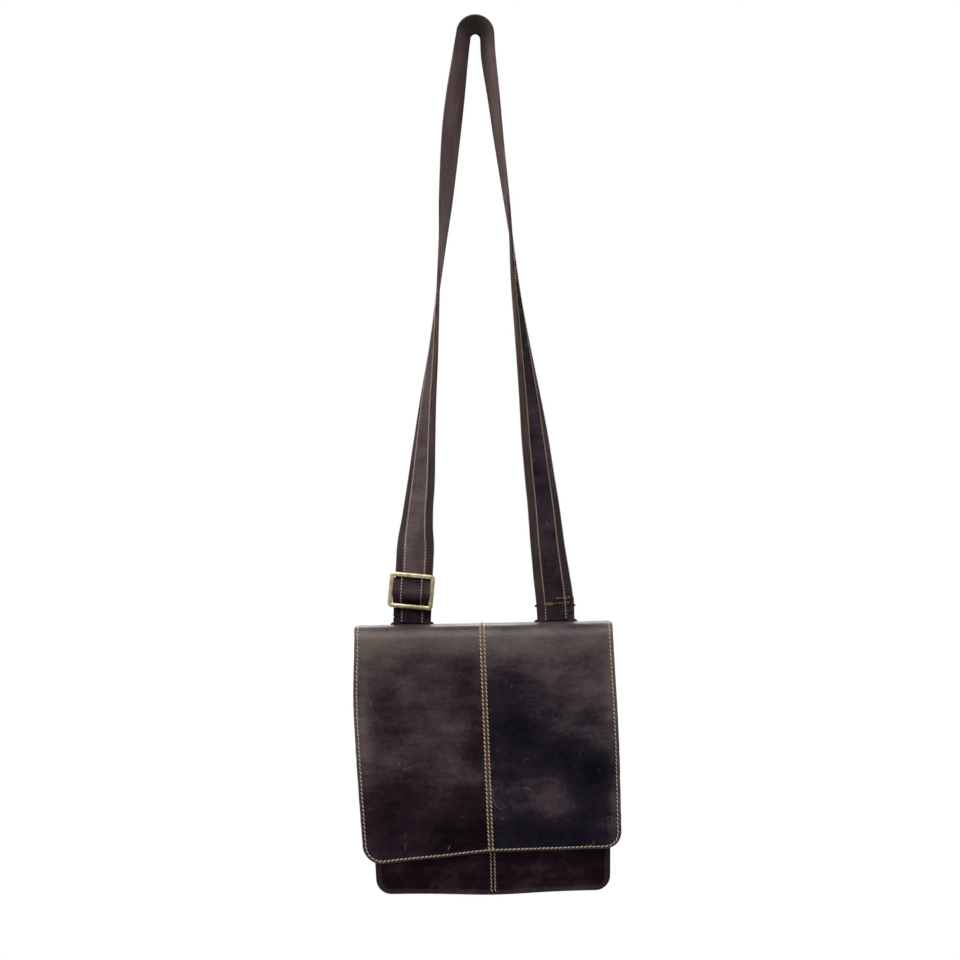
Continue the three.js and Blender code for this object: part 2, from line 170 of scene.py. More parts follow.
def turn_about(centre, radius, start, end, count):
    """A path of (point, normal) round an axis that runs from side to side. At 0 degrees
    it faces backward, at 90 up and at 180 forward."""
    normals = [Vector((0, math.cos(a), math.sin(a))) for a in angles(start, end, count)]
    return [(centre + normal * radius, normal) for normal in normals]


def make_piece(name, points, faces, uvs, materials, slots=None, **fields):
    """A smooth mesh from millimetre points, with UVs in metres. fields are values per
    point that its materials read: wear, from 0 to 1, and tone, dark below 0."""
    mesh = bpy.data.meshes.new(name)
    mesh.from_pydata([Vector(p) * MM for p in points], [], faces)
    layer = mesh.uv_layers.new(name="UVMap")
    for loop in mesh.loops:
        layer.data[loop.index].uv = Vector(uvs[loop.vertex_index]) * MM
    for polygon in mesh.polygons:
        polygon.use_smooth = True
        polygon.material_index = slots[polygon.index] if slots else 0
    for field, values in fields.items():
        mesh.attributes.new(field, "FLOAT", "POINT").data.foreach_set("value", values)
    for material in materials:
        mesh.materials.append(material)
    obj = bpy.data.objects.new(name, mesh)
    bpy.context.scene.collection.objects.link(obj)
    return obj


def grid_faces(rows, columns):
    """Quads of a grid whose rows run left to right, front side towards the viewer."""
    faces = []
    for r in range(rows - 1):
        for c in range(columns - 1):
            a = r * columns + c
            faces.append((a, a + columns, a + columns + 1, a + 1))
    return faces


def ring_faces(rings, sides, start=0, closed=False):
    """Quads between rings of points, counted from the point at start. closed also joins
    the last ring to the first."""
    faces = []
    for r in range(rings if closed else rings - 1):
        here, there = start + r * sides, start + (r + 1) % rings * sides
        for k in range(sides):
            after = (k + 1) % sides
            faces.append((here + k, there + k, there + after, here + after))
    return faces


def apply_modifiers(obj):
    """Turns what a piece's modifiers make of it into its own mesh."""
    graph = bpy.context.evaluated_depsgraph_get()
    source = obj.evaluated_get(graph)
    final = bpy.data.meshes.new_from_object(
        source, preserve_all_data_layers=True, depsgraph=graph
    )
    obj.modifiers.clear()
    obj.data = final
    return obj


def solidify(obj, thickness):
    """Adds a sheet's thickness behind its face. Its rim takes the second material."""
    solid = obj.modifiers.new("thickness", "SOLIDIFY")
    solid.thickness = thickness * MM
    solid.offset = -1
    solid.material_offset_rim = 1


def thicken(obj, thickness, rounding=0.35):
    """Gives a sheet its thickness, with rounded edges."""
    solidify(obj, thickness)
    return round_edges(obj, rounding)


def round_edges(obj, rounding):
    """Rounds a piece's sharp edges by rounding millimetres."""
    bevel = obj.modifiers.new("edges", "BEVEL")
    bevel.width = rounding * MM
    bevel.segments = 2
    bevel.limit_method = "ANGLE"
    bevel.angle_limit = math.radians(55)
    bevel.harden_normals = True
    return apply_modifiers(obj)


def place(obj, body, slot, *nodes):
    """obj rides on a body and stands for CAD nodes. slot is not used."""
    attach(obj, body)
    if nodes:
        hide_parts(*nodes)


def spanning(obj, bodies, start, end, slot, *nodes):
    """obj keeps its place, baked into its mesh, and stands for CAD nodes. bodies, start, end and
    slot are not used."""
    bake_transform(obj)
    if nodes:
        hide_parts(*nodes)


FORWARD = Vector((0, -1, 0))
BACKWARD = Vector((0, 1, 0))


# ----------------------------------------------------------------- materials


def srgb(red, green, blue):
    """Linear colour from 0 to 255 screen values."""
    values = [v / 255 for v in (red, green, blue)]
    linear = [v / 12.92 if v <= 0.04045 else ((v + 0.055) / 1.055) ** 2.4 for v in values]
    return (*linear, 1.0)


class Finish:
    """A procedural material under construction, with short calls for its nodes."""

    def __init__(self, name, coordinates, metallic=0.0, roughness=0.5, specular=0.5):
        self.material = bpy.data.materials.new(name)
        self.material.use_nodes = True
        self.tree = self.material.node_tree
        self.shader = self.tree.nodes["Principled BSDF"]
        self.shader.inputs["Metallic"].default_value = metallic
        self.shader.inputs["Roughness"].default_value = roughness
        self.shader.inputs["Specular IOR Level"].default_value = specular
        self.source = self.node("ShaderNodeTexCoord").outputs[coordinates]

    def feed(self, socket, value):
        """Links a socket to another one, or gives it a value."""
        if isinstance(value, bpy.types.NodeSocket):
            self.tree.links.new(value, socket)
        else:
            socket.default_value = value

    def node(self, kind, inputs=None, **settings):
        made = self.tree.nodes.new(kind)
        for key, value in settings.items():
            setattr(made, key, value)
        for socket, value in (inputs or {}).items():
            self.feed(made.inputs[socket], value)
        return made

    def at(self, scale=(1, 1, 1), shift=(0, 0, 0), turn=0.0):
        """The piece's own coordinates, scaled, shifted and turned."""
        return self.node("ShaderNodeMapping", {
            "Vector": self.source, "Location": shift, "Rotation": (0, 0, math.radians(turn)),
            "Scale": scale}).outputs["Vector"]

    def noise(self, vector, scale, detail=3.0, roughness=0.55, distortion=0.0):
        return self.node("ShaderNodeTexNoise", {
            "Vector": vector, "Scale": scale, "Detail": detail, "Roughness": roughness,
            "Distortion": distortion}).outputs["Fac"]

    def cells(self, vector, scale):
        return self.node("ShaderNodeTexVoronoi",
                         {"Vector": vector, "Scale": scale}).outputs["Distance"]

    def wave(self, vector, scale, direction="X", distortion=0.0):
        return self.node("ShaderNodeTexWave", {
            "Vector": vector, "Scale": scale, "Distortion": distortion},
            bands_direction=direction).outputs["Fac"]

    def math(self, operation, a, b=0.0):
        return self.node("ShaderNodeMath", {0: a, 1: b}, operation=operation).outputs[0]

    def plus(self, a, b):
        return self.math("ADD", a, b)

    def times(self, a, b):
        return self.math("MULTIPLY", a, b)

    def span(self, value, low, high, to_low=0.0, to_high=1.0):
        """value from low to high, mapped smoothly to another span."""
        return self.node("ShaderNodeMapRange", {
            "Value": value, "From Min": low, "From Max": high, "To Min": to_low,
            "To Max": to_high}, interpolation_type="SMOOTHSTEP").outputs["Result"]

    def ramp(self, value, *stops):
        """Colours at places from 0 to 1, blended between them."""
        made = self.node("ShaderNodeValToRGB", {"Fac": value})
        elements = made.color_ramp.elements
        while len(elements) < len(stops):
            elements.new(0.5)
        for element, (position, colour) in zip(elements, stops):
            element.position = position
            element.color = colour
        return made.outputs["Color"]

    def mix(self, share, a, b):
        """A colour from a to b."""
        return self.node("ShaderNodeMix", {"Factor": share, "A": a, "B": b},
                         data_type="RGBA").outputs["Result"]

    def attribute(self, name):
        return self.node("ShaderNodeAttribute", attribute_name=name).outputs["Fac"]

    def bump(self, height, distance, strength, below=None):
        """Relief up to distance millimetres high, on top of a coarser one below."""
        inputs = {"Height": height, "Distance": distance * MM, "Strength": strength}
        if below:
            inputs["Normal"] = below
        return self.node("ShaderNodeBump", inputs).outputs["Normal"]

    def done(self, colour, roughness=None, normal=None):
        self.feed(self.shader.inputs["Base Color"], colour)
        if roughness:
            self.feed(self.shader.inputs["Roughness"], roughness)
        if normal:
            self.feed(self.shader.inputs["Normal"], normal)
        return self.material


def leather_finish(name, coordinates, shift, dark, middle, warm, worn):
    """Oiled pull-up leather: cloudy colour, rubbed patches, fine grain and old scratches.
    The four colours are those of its tones, from leather dark with oil to rubbed. The tone and
    wear attributes also carry painted highlights and painted shade, which take these colours."""
    f = Finish(name, coordinates, roughness=0.46)
    dark, middle, warm, worn = (srgb(*colour) for colour in (dark, middle, warm, worn))
    here = f.at(shift=shift)
    clouds = f.noise(here, 14, detail=2, roughness=0.45, distortion=0.6)
    blotches = f.noise(here, 34, detail=3, roughness=0.5, distortion=0.4)
    mottle = f.noise(here, 210, detail=5, roughness=0.7)
    streaks = f.noise(f.at(scale=(0.22, 1, 1), shift=shift), 110, detail=4)
    # the tone attribute holds each piece's own tone and, on some pieces, painted highlights and
    # painted shade
    tone = f.plus(f.times(f.attribute("tone"), 0.12), 0.12)
    for field, share in ((clouds, 0.22), (blotches, 0.22), (mottle, 0.15), (streaks, 0.17)):
        tone = f.plus(tone, f.times(field, share))
    colour = f.ramp(tone, (0.37, dark), (0.5, middle), (0.6, warm), (0.74, worn))

    lines = f.noise(f.at(shift=(5, shift[1], 2), turn=24), 30, detail=1.4, distortion=0.9)
    near = f.math("ABSOLUTE", f.math("SUBTRACT", lines, 0.5))
    where = f.span(f.noise(f.at(shift=(9, 4, shift[0])), 55, detail=2), 0.6, 0.68)
    scratch = f.times(f.span(near, 0.0, 0.008, 1.0, 0.0), where)
    colour = f.mix(f.times(scratch, 0.8), colour, worn)

    rubbed = f.times(f.attribute("wear"), f.span(mottle, 0.25, 0.7, 0.45, 1.0))
    colour = f.mix(rubbed, colour, worn)

    grain = f.cells(here, 620)
    fine = f.noise(here, 1500, detail=2)
    relief = f.plus(f.times(grain, 0.7), f.times(fine, 0.5))
    relief = f.math("SUBTRACT", relief, f.times(scratch, 0.4))
    normal = f.bump(relief, 0.12, 0.55)
    normal = f.bump(f.noise(here, 46, detail=3), 1.2, 0.35, normal)
    # rubbed leather is drier and paler, and leather dark with oil hardly shines at an angle
    f.feed(f.shader.inputs["Specular IOR Level"], f.span(tone, 0.46, 0.78, 0.0, 0.3))
    roughness = f.span(f.plus(clouds, f.times(mottle, 0.4)), 0.45, 0.95, 0.38, 0.62)
    return f.done(colour, roughness, normal)


def raw_edge_finish():
    """Cut edge of the leather: pale brown fibres between darker dyed faces."""
    f = Finish("raw_edge", "Object", roughness=0.75, specular=0.3)
    fibres = f.noise(f.at(), 900, detail=4, roughness=0.7)
    patches = f.noise(f.at(), 60, detail=2)
    colour = f.ramp(fibres, (0.35, srgb(44, 31, 26)), (0.62, srgb(124, 98, 76)))
    colour = f.mix(f.span(patches, 0.4, 0.65), colour, srgb(52, 38, 34))
    return f.done(colour, f.span(fibres, 0.3, 0.7, 0.6, 0.85), f.bump(fibres, 0.15, 0.7))


def webbing_finish():
    """Ribbed cotton webbing: warp ribs along it and a fine weft across."""
    f = Finish("webbing", "UV", roughness=0.86, specular=0.25)
    ribs = f.wave(f.at(), 210, "X", 0.4)
    weft = f.wave(f.at(), 330, "Y", 0.6)
    weave = f.times(ribs, f.plus(f.times(weft, 0.6), 0.4))
    fade = f.noise(f.at(scale=(1, 0.4, 1)), 38, detail=4)
    fuzz = f.noise(f.at(), 1300, detail=3)
    # the tone attribute holds the strap's tone, with painted shade on its arch and a painted
    # highlight and shade on its fold over the slider
    fade = f.plus(fade, f.times(f.attribute("tone"), 0.12))
    colour = f.ramp(fade, (0.34, srgb(38, 25, 26)), (0.52, srgb(68, 51, 52)), (0.7, srgb(94, 76, 75)))
    colour = f.mix(f.span(weave, 0.0, 0.8, 0.55, 0.0), colour, srgb(30, 20, 21))
    colour = f.mix(f.span(fuzz, 0.5, 0.75, 0.0, 0.3), colour, srgb(120, 98, 92))
    f.shader.inputs["Sheen Weight"].default_value = 0.25
    f.shader.inputs["Sheen Roughness"].default_value = 0.5
    f.shader.inputs["Sheen Tint"].default_value = srgb(150, 128, 122)
    normal = f.bump(f.plus(weave, f.times(fuzz, 0.3)), 0.35, 0.7)
    return f.done(colour, f.span(fuzz, 0.3, 0.7, 0.78, 0.95), normal)


def thread_finish(name, dark, light):
    """Waxed thread: two plies twisted round each other. Its dark colour is the thread in shade,
    painted into the grooves of the twist as painted shade; it also darkens worn spots.
    """
    f = Finish(name, "UV", roughness=0.6, specular=0.35)
    twist = f.wave(f.at(turn=38), 420, "X", 0.3)
    wear = f.noise(f.at(), 95, detail=2)
    colour = f.mix(f.span(twist, 0.1, 0.7), dark, light)
    colour = f.mix(f.span(wear, 0.52, 0.72, 0.0, 0.55), colour, dark)
    return f.done(colour, f.span(wear, 0.3, 0.7, 0.5, 0.7), f.bump(twist, 0.12, 0.6))


def fabric_finish():
    """Twill lining."""
    f = Finish("lining_cloth", "UV", roughness=0.88, specular=0.2)
    twill = f.wave(f.at(turn=45), 420, "X", 0.2)
    threads = f.noise(f.at(scale=(1, 6, 1)), 420, detail=2)
    fade = f.noise(f.at(), 18, detail=3)
    colour = f.ramp(fade, (0.35, srgb(66, 56, 46)), (0.65, srgb(94, 82, 68)))
    colour = f.mix(f.span(twill, 0.0, 0.9, 0.45, 0.0), colour, srgb(36, 30, 25))
    f.shader.inputs["Sheen Weight"].default_value = 0.15
    normal = f.bump(f.plus(twill, threads), 0.22, 0.6)
    return f.done(colour, f.span(threads, 0.3, 0.7, 0.8, 0.95), normal)


def metal_finish(name, metallic, bright, tarnished, roughness, patchy):
    """Cast metal: rubbed bright where handled, tarnished in patches, finely scratched."""
    f = Finish(name, "Object", metallic=metallic, roughness=roughness)
    tarnish = f.noise(f.at(), 130, detail=5, roughness=0.65)
    fine = f.noise(f.at(scale=(1, 1, 7), turn=20), 900, detail=3)
    colour = f.mix(f.span(tarnish, 0.5 - patchy, 0.5 + patchy), bright, tarnished)
    rough = f.plus(f.span(tarnish, 0.3, 0.7, roughness - 0.08, roughness + 0.14),
                   f.times(fine, 0.08))
    return f.done(colour, rough, f.bump(fine, 0.05, 0.5))


MAT = {
    "hide_left": leather_finish("leather_flap_left", "UV", (0.3, 1.7, 0.2),
                                (12, 6, 14), (36, 26, 34), (60, 47, 51), (88, 77, 70)),
    "hide_right": leather_finish("leather_flap_right", "UV", (4.1, 2.6, 1.2),
                                 (8, 8, 19), (31, 25, 35), (60, 50, 53), (86, 78, 75)),
    # the seam's band between its two rows is painted brown, the colour of the stitches' thread in
    # shade
    "band": leather_finish("leather_band", "UV", (0.9, 6.1, 3.2),
                           (40, 29, 24), (64, 49, 40), (76, 59, 48), (98, 80, 64)),
    "body": leather_finish("leather_body", "Object", (1.9, 0.4, 2.2),
                           (9, 3, 9), (25, 15, 21), (42, 29, 34), (66, 53, 55)),
    "strap": leather_finish("leather_strap", "UV", (2.2, 5.3, 0.7),
                            (20, 16, 22), (50, 42, 48), (66, 54, 57), (90, 78, 76)),
    "sealed": leather_finish("sealed_cord", "Object", (7.7, 1.1, 4.2),
                             (8, 6, 8), (18, 13, 15), (28, 21, 22), (40, 32, 32)),
    "edge": raw_edge_finish(),
    "webbing": webbing_finish(),
    # the first colour of each thread is its colour in shade, painted into the twist as painted shade
    "thread": thread_finish("thread_tan", srgb(112, 91, 72), srgb(210, 192, 172)),
    "thread_worn": thread_finish("thread_orange", srgb(106, 70, 52), srgb(196, 150, 118)),
    "lining": fabric_finish(),
    "brass": metal_finish("antique_brass", 0.72, srgb(228, 216, 178), srgb(172, 154, 116), 0.38,
                          0.16),
    "steel_black": metal_finish("black_steel", 1.0, srgb(40, 38, 40), srgb(20, 19, 21), 0.36,
                                0.2),
    "magnet": metal_finish("magnet_steel", 1.0, srgb(188, 184, 176), srgb(120, 112, 100), 0.26,
                           0.12),
}


# -------------------------------------------------------------------- stitches


def thread_stitch(points, faces, uvs, start, end, normal, radius):
    """One stitch: a short thread that comes up out of the leather and goes back in."""
    along = end - start
    across = along.normalized().cross(normal)
    sections, sides = 6, 6
    first = len(points)
    for i in range(sections + 1):
        t = i / sections
        arch = math.sin(math.pi * t)
        centre = start + along * t + normal * (radius * (1.05 * arch**0.6 - 0.75))
        size = radius * (0.45 + 0.55 * arch**0.5)
        for k in range(sides):
            angle = 2 * math.pi * k / sides
            points.append(centre + across * (size * math.cos(angle))
                          + normal * (size * math.sin(angle)))
            uvs.append((t * along.length, k * 0.5))
    faces += ring_faces(sections + 1, sides, first)
    faces.append(tuple(first + k for k in range(sides)))
    faces.append(tuple(first + sections * sides + k for k in reversed(range(sides))))


def along_path(path, distance):
    """Point and normal at a distance along [(point, normal), ...]."""
    for (p, n), (q, m) in zip(path, path[1:]):
        step = (q - p).length
        if distance <= step:
            share = distance / max(step, 1e-6)
            return p.lerp(q, share), n.lerp(m, share).normalized()
        distance -= step
    return path[-1]


def stitch_rows(name, paths, pitch=STITCH_PITCH, length=STITCH_LENGTH,
                radius=STITCH_RADIUS, slant=STITCH_SLANT, material="thread"):
    """Rows of slanting stitches along paths of (point, normal)."""
    points, faces, uvs = [], [], []
    for path in paths:
        total = sum((q[0] - p[0]).length for p, q in zip(path, path[1:]))
        count = max(1, round(total / pitch))
        step = total / count
        for i in range(count):
            begin = (i + 0.5) * step - length / 2
            start, normal = along_path(path, max(0.0, begin))
            end, _ = along_path(path, min(total, begin + length))
            aside = (end - start).normalized().cross(normal) * slant
            thread_stitch(points, faces, uvs, start - aside, end + aside, normal, radius)
    return make_piece(name, points, faces, uvs, [MAT[material]])


# ------------------------------------------------------------------ the stage


def add_camera():
    """A long lens straight in front of the bag, turned a degree about its own axis.
    Lengths are in metres."""
    distance = 2.6
    view_width = 0.9728  # seen at the strap's middle
    data = bpy.data.cameras.new("camera")
    data.sensor_width = 36
    data.lens = data.sensor_width * distance / view_width
    data.clip_start, data.clip_end = 0.1, 60
    camera = bpy.data.objects.new("camera", data)
    bpy.context.scene.collection.objects.link(camera)
    stand = Matrix.Translation((-0.0013, -distance, -0.4516))
    roll = Matrix.Rotation(math.radians(-1.1), 4, "Z")
    camera.matrix_world = stand @ Matrix.Rotation(math.pi / 2, 4, "X") @ roll
    bpy.context.scene.camera = camera


def add_floor():
    """A round pale floor well below the hanging bag, lit from below towards its rim."""
    level = BACK_LOW.z - 437
    reach, rings, sides = 1880, 12, 96
    points = [(0, 0, level)]
    for radius in spread(0, reach, rings)[1:]:
        for angle in angles(0, 360, sides)[:-1]:
            points.append((radius * math.cos(angle), radius * math.sin(angle), level))
    faces = [(0, 1 + k, 1 + (k + 1) % sides) for k in range(sides)]
    faces += ring_faces(rings, sides, 1)
    f = Finish("floor_paper", "Object", roughness=0.9, specular=0.1)
    grain = f.noise(f.at(), 40, detail=2)
    from_middle = f.node("ShaderNodeVectorMath", {0: f.at(scale=(1, 1, 0))}, operation="LENGTH")
    glow = f.span(from_middle.outputs["Value"], 0.6, reach * MM, 0.45, 1.0)
    f.feed(f.shader.inputs["Emission Strength"], glow)
    f.shader.inputs["Emission Color"].default_value = (1, 1, 1, 1)
    material = f.done(f.ramp(grain, (0.3, srgb(238, 238, 238)), (0.7, srgb(243, 243, 243))))
    floor = make_piece("floor", points, faces, [(p[0], p[1]) for p in points], [material])


def add_light(name, location, target, size, power):
    data = bpy.data.lights.new(name, "AREA")
    data.shape = "RECTANGLE"
    data.size, data.size_y = size
    data.energy = power
    light = bpy.data.objects.new(name, data)
    bpy.context.scene.collection.objects.link(light)
    light.location = location
    light.visible_camera = False
    light.rotation_euler = (Vector(target) - Vector(location)).to_track_quat("-Z", "Y").to_euler()


def add_lighting():
    """Soft boxes overhead, at both sides in front and behind, and a white surround that
    lights little."""
    bag = (0, 0, -0.72)
    add_light("overhead", (-0.2, -0.5, 0.35), (0, 0, -0.6), (1.3, 0.8), 19)
    add_light("front_left", (-2.4, -1.6, 0.3), bag, (1.2, 1.6), 9)
    add_light("front_right", (2.4, -1.4, 0.1), bag, (1.0, 1.6), 5)
    add_light("behind", (0.3, 2.0, 0.2), bag, (1.8, 1.4), 26)
    world = bpy.data.worlds.new("surround")
    world.use_nodes = True
    tree = world.node_tree
    background = tree.nodes["Background"]
    seen = tree.nodes.new("ShaderNodeLightPath").outputs["Is Camera Ray"]
    strength = tree.nodes.new("ShaderNodeMapRange")
    strength.inputs["To Min"].default_value = 0.1
    strength.inputs["To Max"].default_value = 1.0
    tree.links.new(seen, strength.inputs["Value"])
    tree.links.new(strength.outputs["Result"], background.inputs["Strength"])
    background.inputs["Color"].default_value = (1, 1, 1, 1)
    bpy.context.scene.world = world
    bpy.context.scene.view_settings.view_transform = "Standard"


# ------------------------------------------------------------------- the strap


def leg_x(height):
    """Distance of the strap's legs from the middle where they run straight."""
    return STRAP_X - math.tan(STRAP_ANGLE) * (height - STRAP_START)


# The strap's route, as in the CAD model: a height, and for each leg its distance from the
# middle and how far it has turned. 0 faces forward, 90 stands on edge.
STRAP_STOPS = [
    (STRAP_START, (STRAP_X, 0), (STRAP_X, 0)),
    (30, (leg_x(30), 0), (leg_x(30), 3)),
    (50, (leg_x(50), 0), (69.2, 12)),
    (68, (leg_x(68), 0), (67.2, 20)),
    (STRAP_STRAIGHT, (leg_x(STRAP_STRAIGHT), 1), (66.3, 22)),
    (85, (67.7, 11), (65.4, 24)),
    (98, (66.7, 25), (64.4, 27)),
    (108, (65.6, 32), (63.5, 29)),
    (123, (64, 38), (62.2, 32)),
    (149, (60.7, 44), (59.3, 37)),
    (189, (56.8, 55), (55.2, 44)),
    (230, (52.4, 65), (51, 55)),
    (271, (47.2, 74), (46.3, 65)),
    (311, (42.5, 83), (41.7, 73)),
    (352, (38.2, 91), (37.4, 80)),
    (392, (34.2, 99), (34.2, 88)),
    (433, (30.3, 109), (30.5, 95)),
    (493, (24.2, 117), (24.1, 102)),
    (534, (18.9, 117), (20, 106)),
    (574, (13.1, 112), (15.5, 110)),
]
ARCH = {"middle": 2.4, "height": 594.5, "half_width": 12.2, "rise": 12.5, "turn": 110.0,
        "steps": 8}


def strap_y(height):
    """The strap leans forward on its way up."""
    way = smoothstep(height, STRAP_STRAIGHT, ARCH["height"] + ARCH["rise"])
    return lerp(STRAP_Y, STRAP_TOP_Y, way)


def strap_stations(step):
    """Places along the strap about step apart: place, side, normal, distance so far."""
    stops = [(-x, height, turn) for height, (x, turn), _ in STRAP_STOPS]
    for angle in spread(0, math.pi, ARCH["steps"]):
        height = ARCH["height"] + ARCH["rise"] * math.sin(angle)
        x = ARCH["middle"] - ARCH["half_width"] * math.cos(angle)
        stops.append((x, height, ARCH["turn"]))
    stops += [(x, height, turn) for height, _, (x, turn) in reversed(STRAP_STOPS)]
    places = [Vector((x, strap_y(height), height + BAG_TOP)) for x, height, _ in stops]
    turns = [Vector((turn, 0, 0)) for _, _, turn in stops]

    dense = spread(0, len(stops) - 1, 40 * (len(stops) - 1))
    line = [catmull(places, u) for u in dense]
    reached = [0.0]
    for a, b in zip(line, line[1:]):
        reached.append(reached[-1] + (b - a).length)
    stations = []
    count = round(reached[-1] / step)
    k = 0
    for i in range(count + 1):
        distance = reached[-1] * i / count
        while k < len(reached) - 2 and reached[k + 1] < distance:
            k += 1
        share = (distance - reached[k]) / (reached[k + 1] - reached[k])
        u = lerp(dense[k], dense[k + 1], min(1.0, share))
        ahead, behind = min(u + 0.01, dense[-1]), max(u - 0.01, 0.0)
        along = (catmull(places, ahead) - catmull(places, behind)).normalized()
        turn = math.radians(catmull(turns, u).x)
        outward = Vector((-along.z, 0, along.x)).normalized()
        toward = along.cross(outward).normalized()
        normal = toward * math.cos(turn) + outward * math.sin(turn)
        side = toward * math.sin(turn) - outward * math.cos(turn)
        stations.append((catmull(places, u), side, normal, distance))
    return stations


def add_strap_webbing():
    """The long webbing, with the small loops of its weft showing along both edges."""
    half = STRAP_WIDTH / 2
    across = (-half, -half + 0.9, -12, 0, 12, half - 0.9, half)
    points, uvs, tone = [], [], []
    for centre, side, normal, distance in strap_stations(WEFT_LOOP / 3):
        height = centre.z - BAG_TOP
        # lighter high on the legs than low down, with painted shade on the underside of the arch at
        # the top
        handled = 1.1 * smoothstep(height, 150, 420) - 0.7 - 2.7 * smoothstep(height, 570, 600)
        # darker at the lower end of the left leg
        handled -= 1.9 * smoothstep(distance, 30, 18)
        tooth = 0.45 * math.sin(2 * math.pi * distance / WEFT_LOOP)
        tooth *= smoothstep(height, 580, 520)
        for c, at in enumerate(across):
            edge = c in (0, len(across) - 1)
            where = at + (math.copysign(1, at) * tooth if edge else 0.0)
            lift = WEBBING / 2 - (0.35 if edge else 0.0)
            points.append(centre + side * where + normal * lift)
            uvs.append((at, distance))
            tone.append(handled)
    faces = [tuple(reversed(f)) for f in grid_faces(len(points) // len(across), len(across))]
    obj = make_piece("strap_webbing_ribbon", points, faces, uvs, [MAT["webbing"]], tone=tone)
    solidify(obj, WEBBING)
    place(apply_modifiers(obj), "strap", "webbing", "strap_webbing")


def add_strap_overlay():
    """The leather strip sewn along the outer face of the webbing, with its two rows."""
    half = OVERLAY_WIDTH / 2
    across = (-half, -half + 0.8, -STRAP_ROWS - 0.7, -STRAP_ROWS, -STRAP_ROWS + 0.7, -5,
              0, 5, STRAP_ROWS - 0.7, STRAP_ROWS, STRAP_ROWS + 0.7, half - 0.8, half)
    depth = (0.28, 0.08, 0.05, 0.25, 0.05, 0, 0, 0, 0.05, 0.25, 0.05, 0.08, 0.28)
    points, uvs, wear, tone = [], [], [], []
    stations = strap_stations(3.0)
    length = stations[-1][3]
    # both ends go on straight down, to just above the flap
    drop = STRAP_START - FLAP_TOP - STRIP_CLEAR
    for i in (0, -1):
        centre, side, normal, distance = stations[i]
        lower = (centre - Vector((0, 0, drop)), side, normal, distance + (drop if i else -drop))
        stations.insert(len(stations) if i else 0, lower)
    for centre, side, normal, distance in stations:
        # lighter on the left leg than on the right
        strap_leg_tone = lerp(1.2, -0.4, smoothstep(distance, length * 0.3, length * 0.75))
        # darker at the lower end of the left leg
        strap_leg_tone -= 2.2 * smoothstep(distance, 14, 8)
        uneven = 0.12 * waver(distance, 0, 30, 3)
        for at, low in zip(across, depth):
            points.append(centre + side * (at + uneven) + normal * (OVERLAY_FACE - low))
            uvs.append((at, distance))
            wear.append(0.55 if abs(at) > half - 1 else 0.1)
            tone.append(strap_leg_tone)
    faces = [tuple(reversed(f)) for f in grid_faces(len(stations), len(across))]
    obj = make_piece("strap_leather_strip", points, faces, uvs, [MAT["strap"], MAT["edge"]],
                     wear=wear, tone=tone)
    place(thicken(obj, OVERLAY), "strap", "strap_leather", "strap_overlay")

    rows = []
    for at in (-STRAP_ROWS, STRAP_ROWS):
        rows.append([(p + side * at + normal * (OVERLAY_FACE - 0.15), normal)
                     for p, side, normal, _ in stations])
    place(stitch_rows("strap_stitches", rows, **STRAP_SEWING), "strap", "thread")


# --------------------------------------------------------------------- the bag


def middle_x(height):
    """The bag's middle line, which drifts sideways going down."""
    return MIDDLE_X - SKEW * height


def body_half(height):
    """Distance of the body's side from its middle line."""
    return lerp(BODY_HALF_BOTTOM, BODY_HALF_TOP, (height - BODY_LOW) / -BODY_LOW)


def body_low(x):
    """Height of the body's lower edge at a distance from its middle line."""
    return BODY_LOW - 1.6 - 2.6 * math.exp(-((x / 50) ** 2))


def settled(x, y, height):
    """Where a point of the plain body goes once the soft leather has sagged and bulged."""
    down = min(1.0, max(0.0, height / BODY_LOW))
    across = min(1.0, abs(x) / BODY_HALF_TOP)
    depth = min(1.0, max(0.0, y / BODY_FRONT))
    belly = (1 - across**2) * math.sin(math.pi * down**0.8)
    uneven = 0.5 * waver(x, height, 62, 1) + 0.18 * waver(x, height, 19, 2)
    flat = smoothstep(down, 0.0, 0.12)
    front = (2.1 * belly + uneven * flat) * smoothstep(depth, 0.5, 1.0)
    rear = (1.6 * belly + 0.3 * uneven) * smoothstep(depth, 0.5, 0.0)
    pinch = math.sin(math.pi * depth) ** 2 * (3.6 - 2.4 * down) * across**6
    crease = 0.9 * waver(depth * 40, height, 30, 5) * across**6 * math.sin(math.pi * depth)
    sag = 1.2 * math.sin(math.pi * depth) * smoothstep(down, 0.9, 1.0)
    return Vector((
        middle_x(height) + x - math.copysign(pinch + crease, x),
        y - front - rear,
        BAG_TOP + height + sag,
    ))


def corner_columns(half, corner):
    """Distances from the middle of the columns that go round a lower corner."""
    return [half - corner + corner * math.sin(a) for a in angles(0, 90, 7)]


def side_columns(half, corner, seam):
    """Distances from the middle line of the columns on one side, seam first."""
    flat = half - corner
    count = round((flat - seam[-1]) / 6)
    return [*seam, *spread(seam[-1], flat, count)[1:-1], *corner_columns(half, corner)]


def body_front(inset, top, seam):
    """Rows of (x, height) over the front of the body, drawn smaller by inset. They run
    down to a last full row 10 mm above its lower edge, then close together."""
    corner = max(4.0, BODY_CORNER - inset)
    half = BODY_HALF_BOTTOM - inset
    right = side_columns(half, corner, seam)
    xs = [-x for x in reversed(right[1:])] + right
    steps = [(share, 10.0) for share in spread(0, 1, 40)]
    steps += [(1, above) for above in (7.0, 4.5, 2.5, 1.0, 0.0)]
    rows = []
    for share, above in steps:
        row = []
        for x in xs:
            past = max(0.0, abs(x) - (half - corner))
            low = body_low(x) + inset + corner - math.sqrt(max(0.0, corner**2 - past**2))
            height = lerp(top, low + above, share)
            row.append((x * (body_half(height) - inset) / half, height))
        rows.append(row)
    return rows


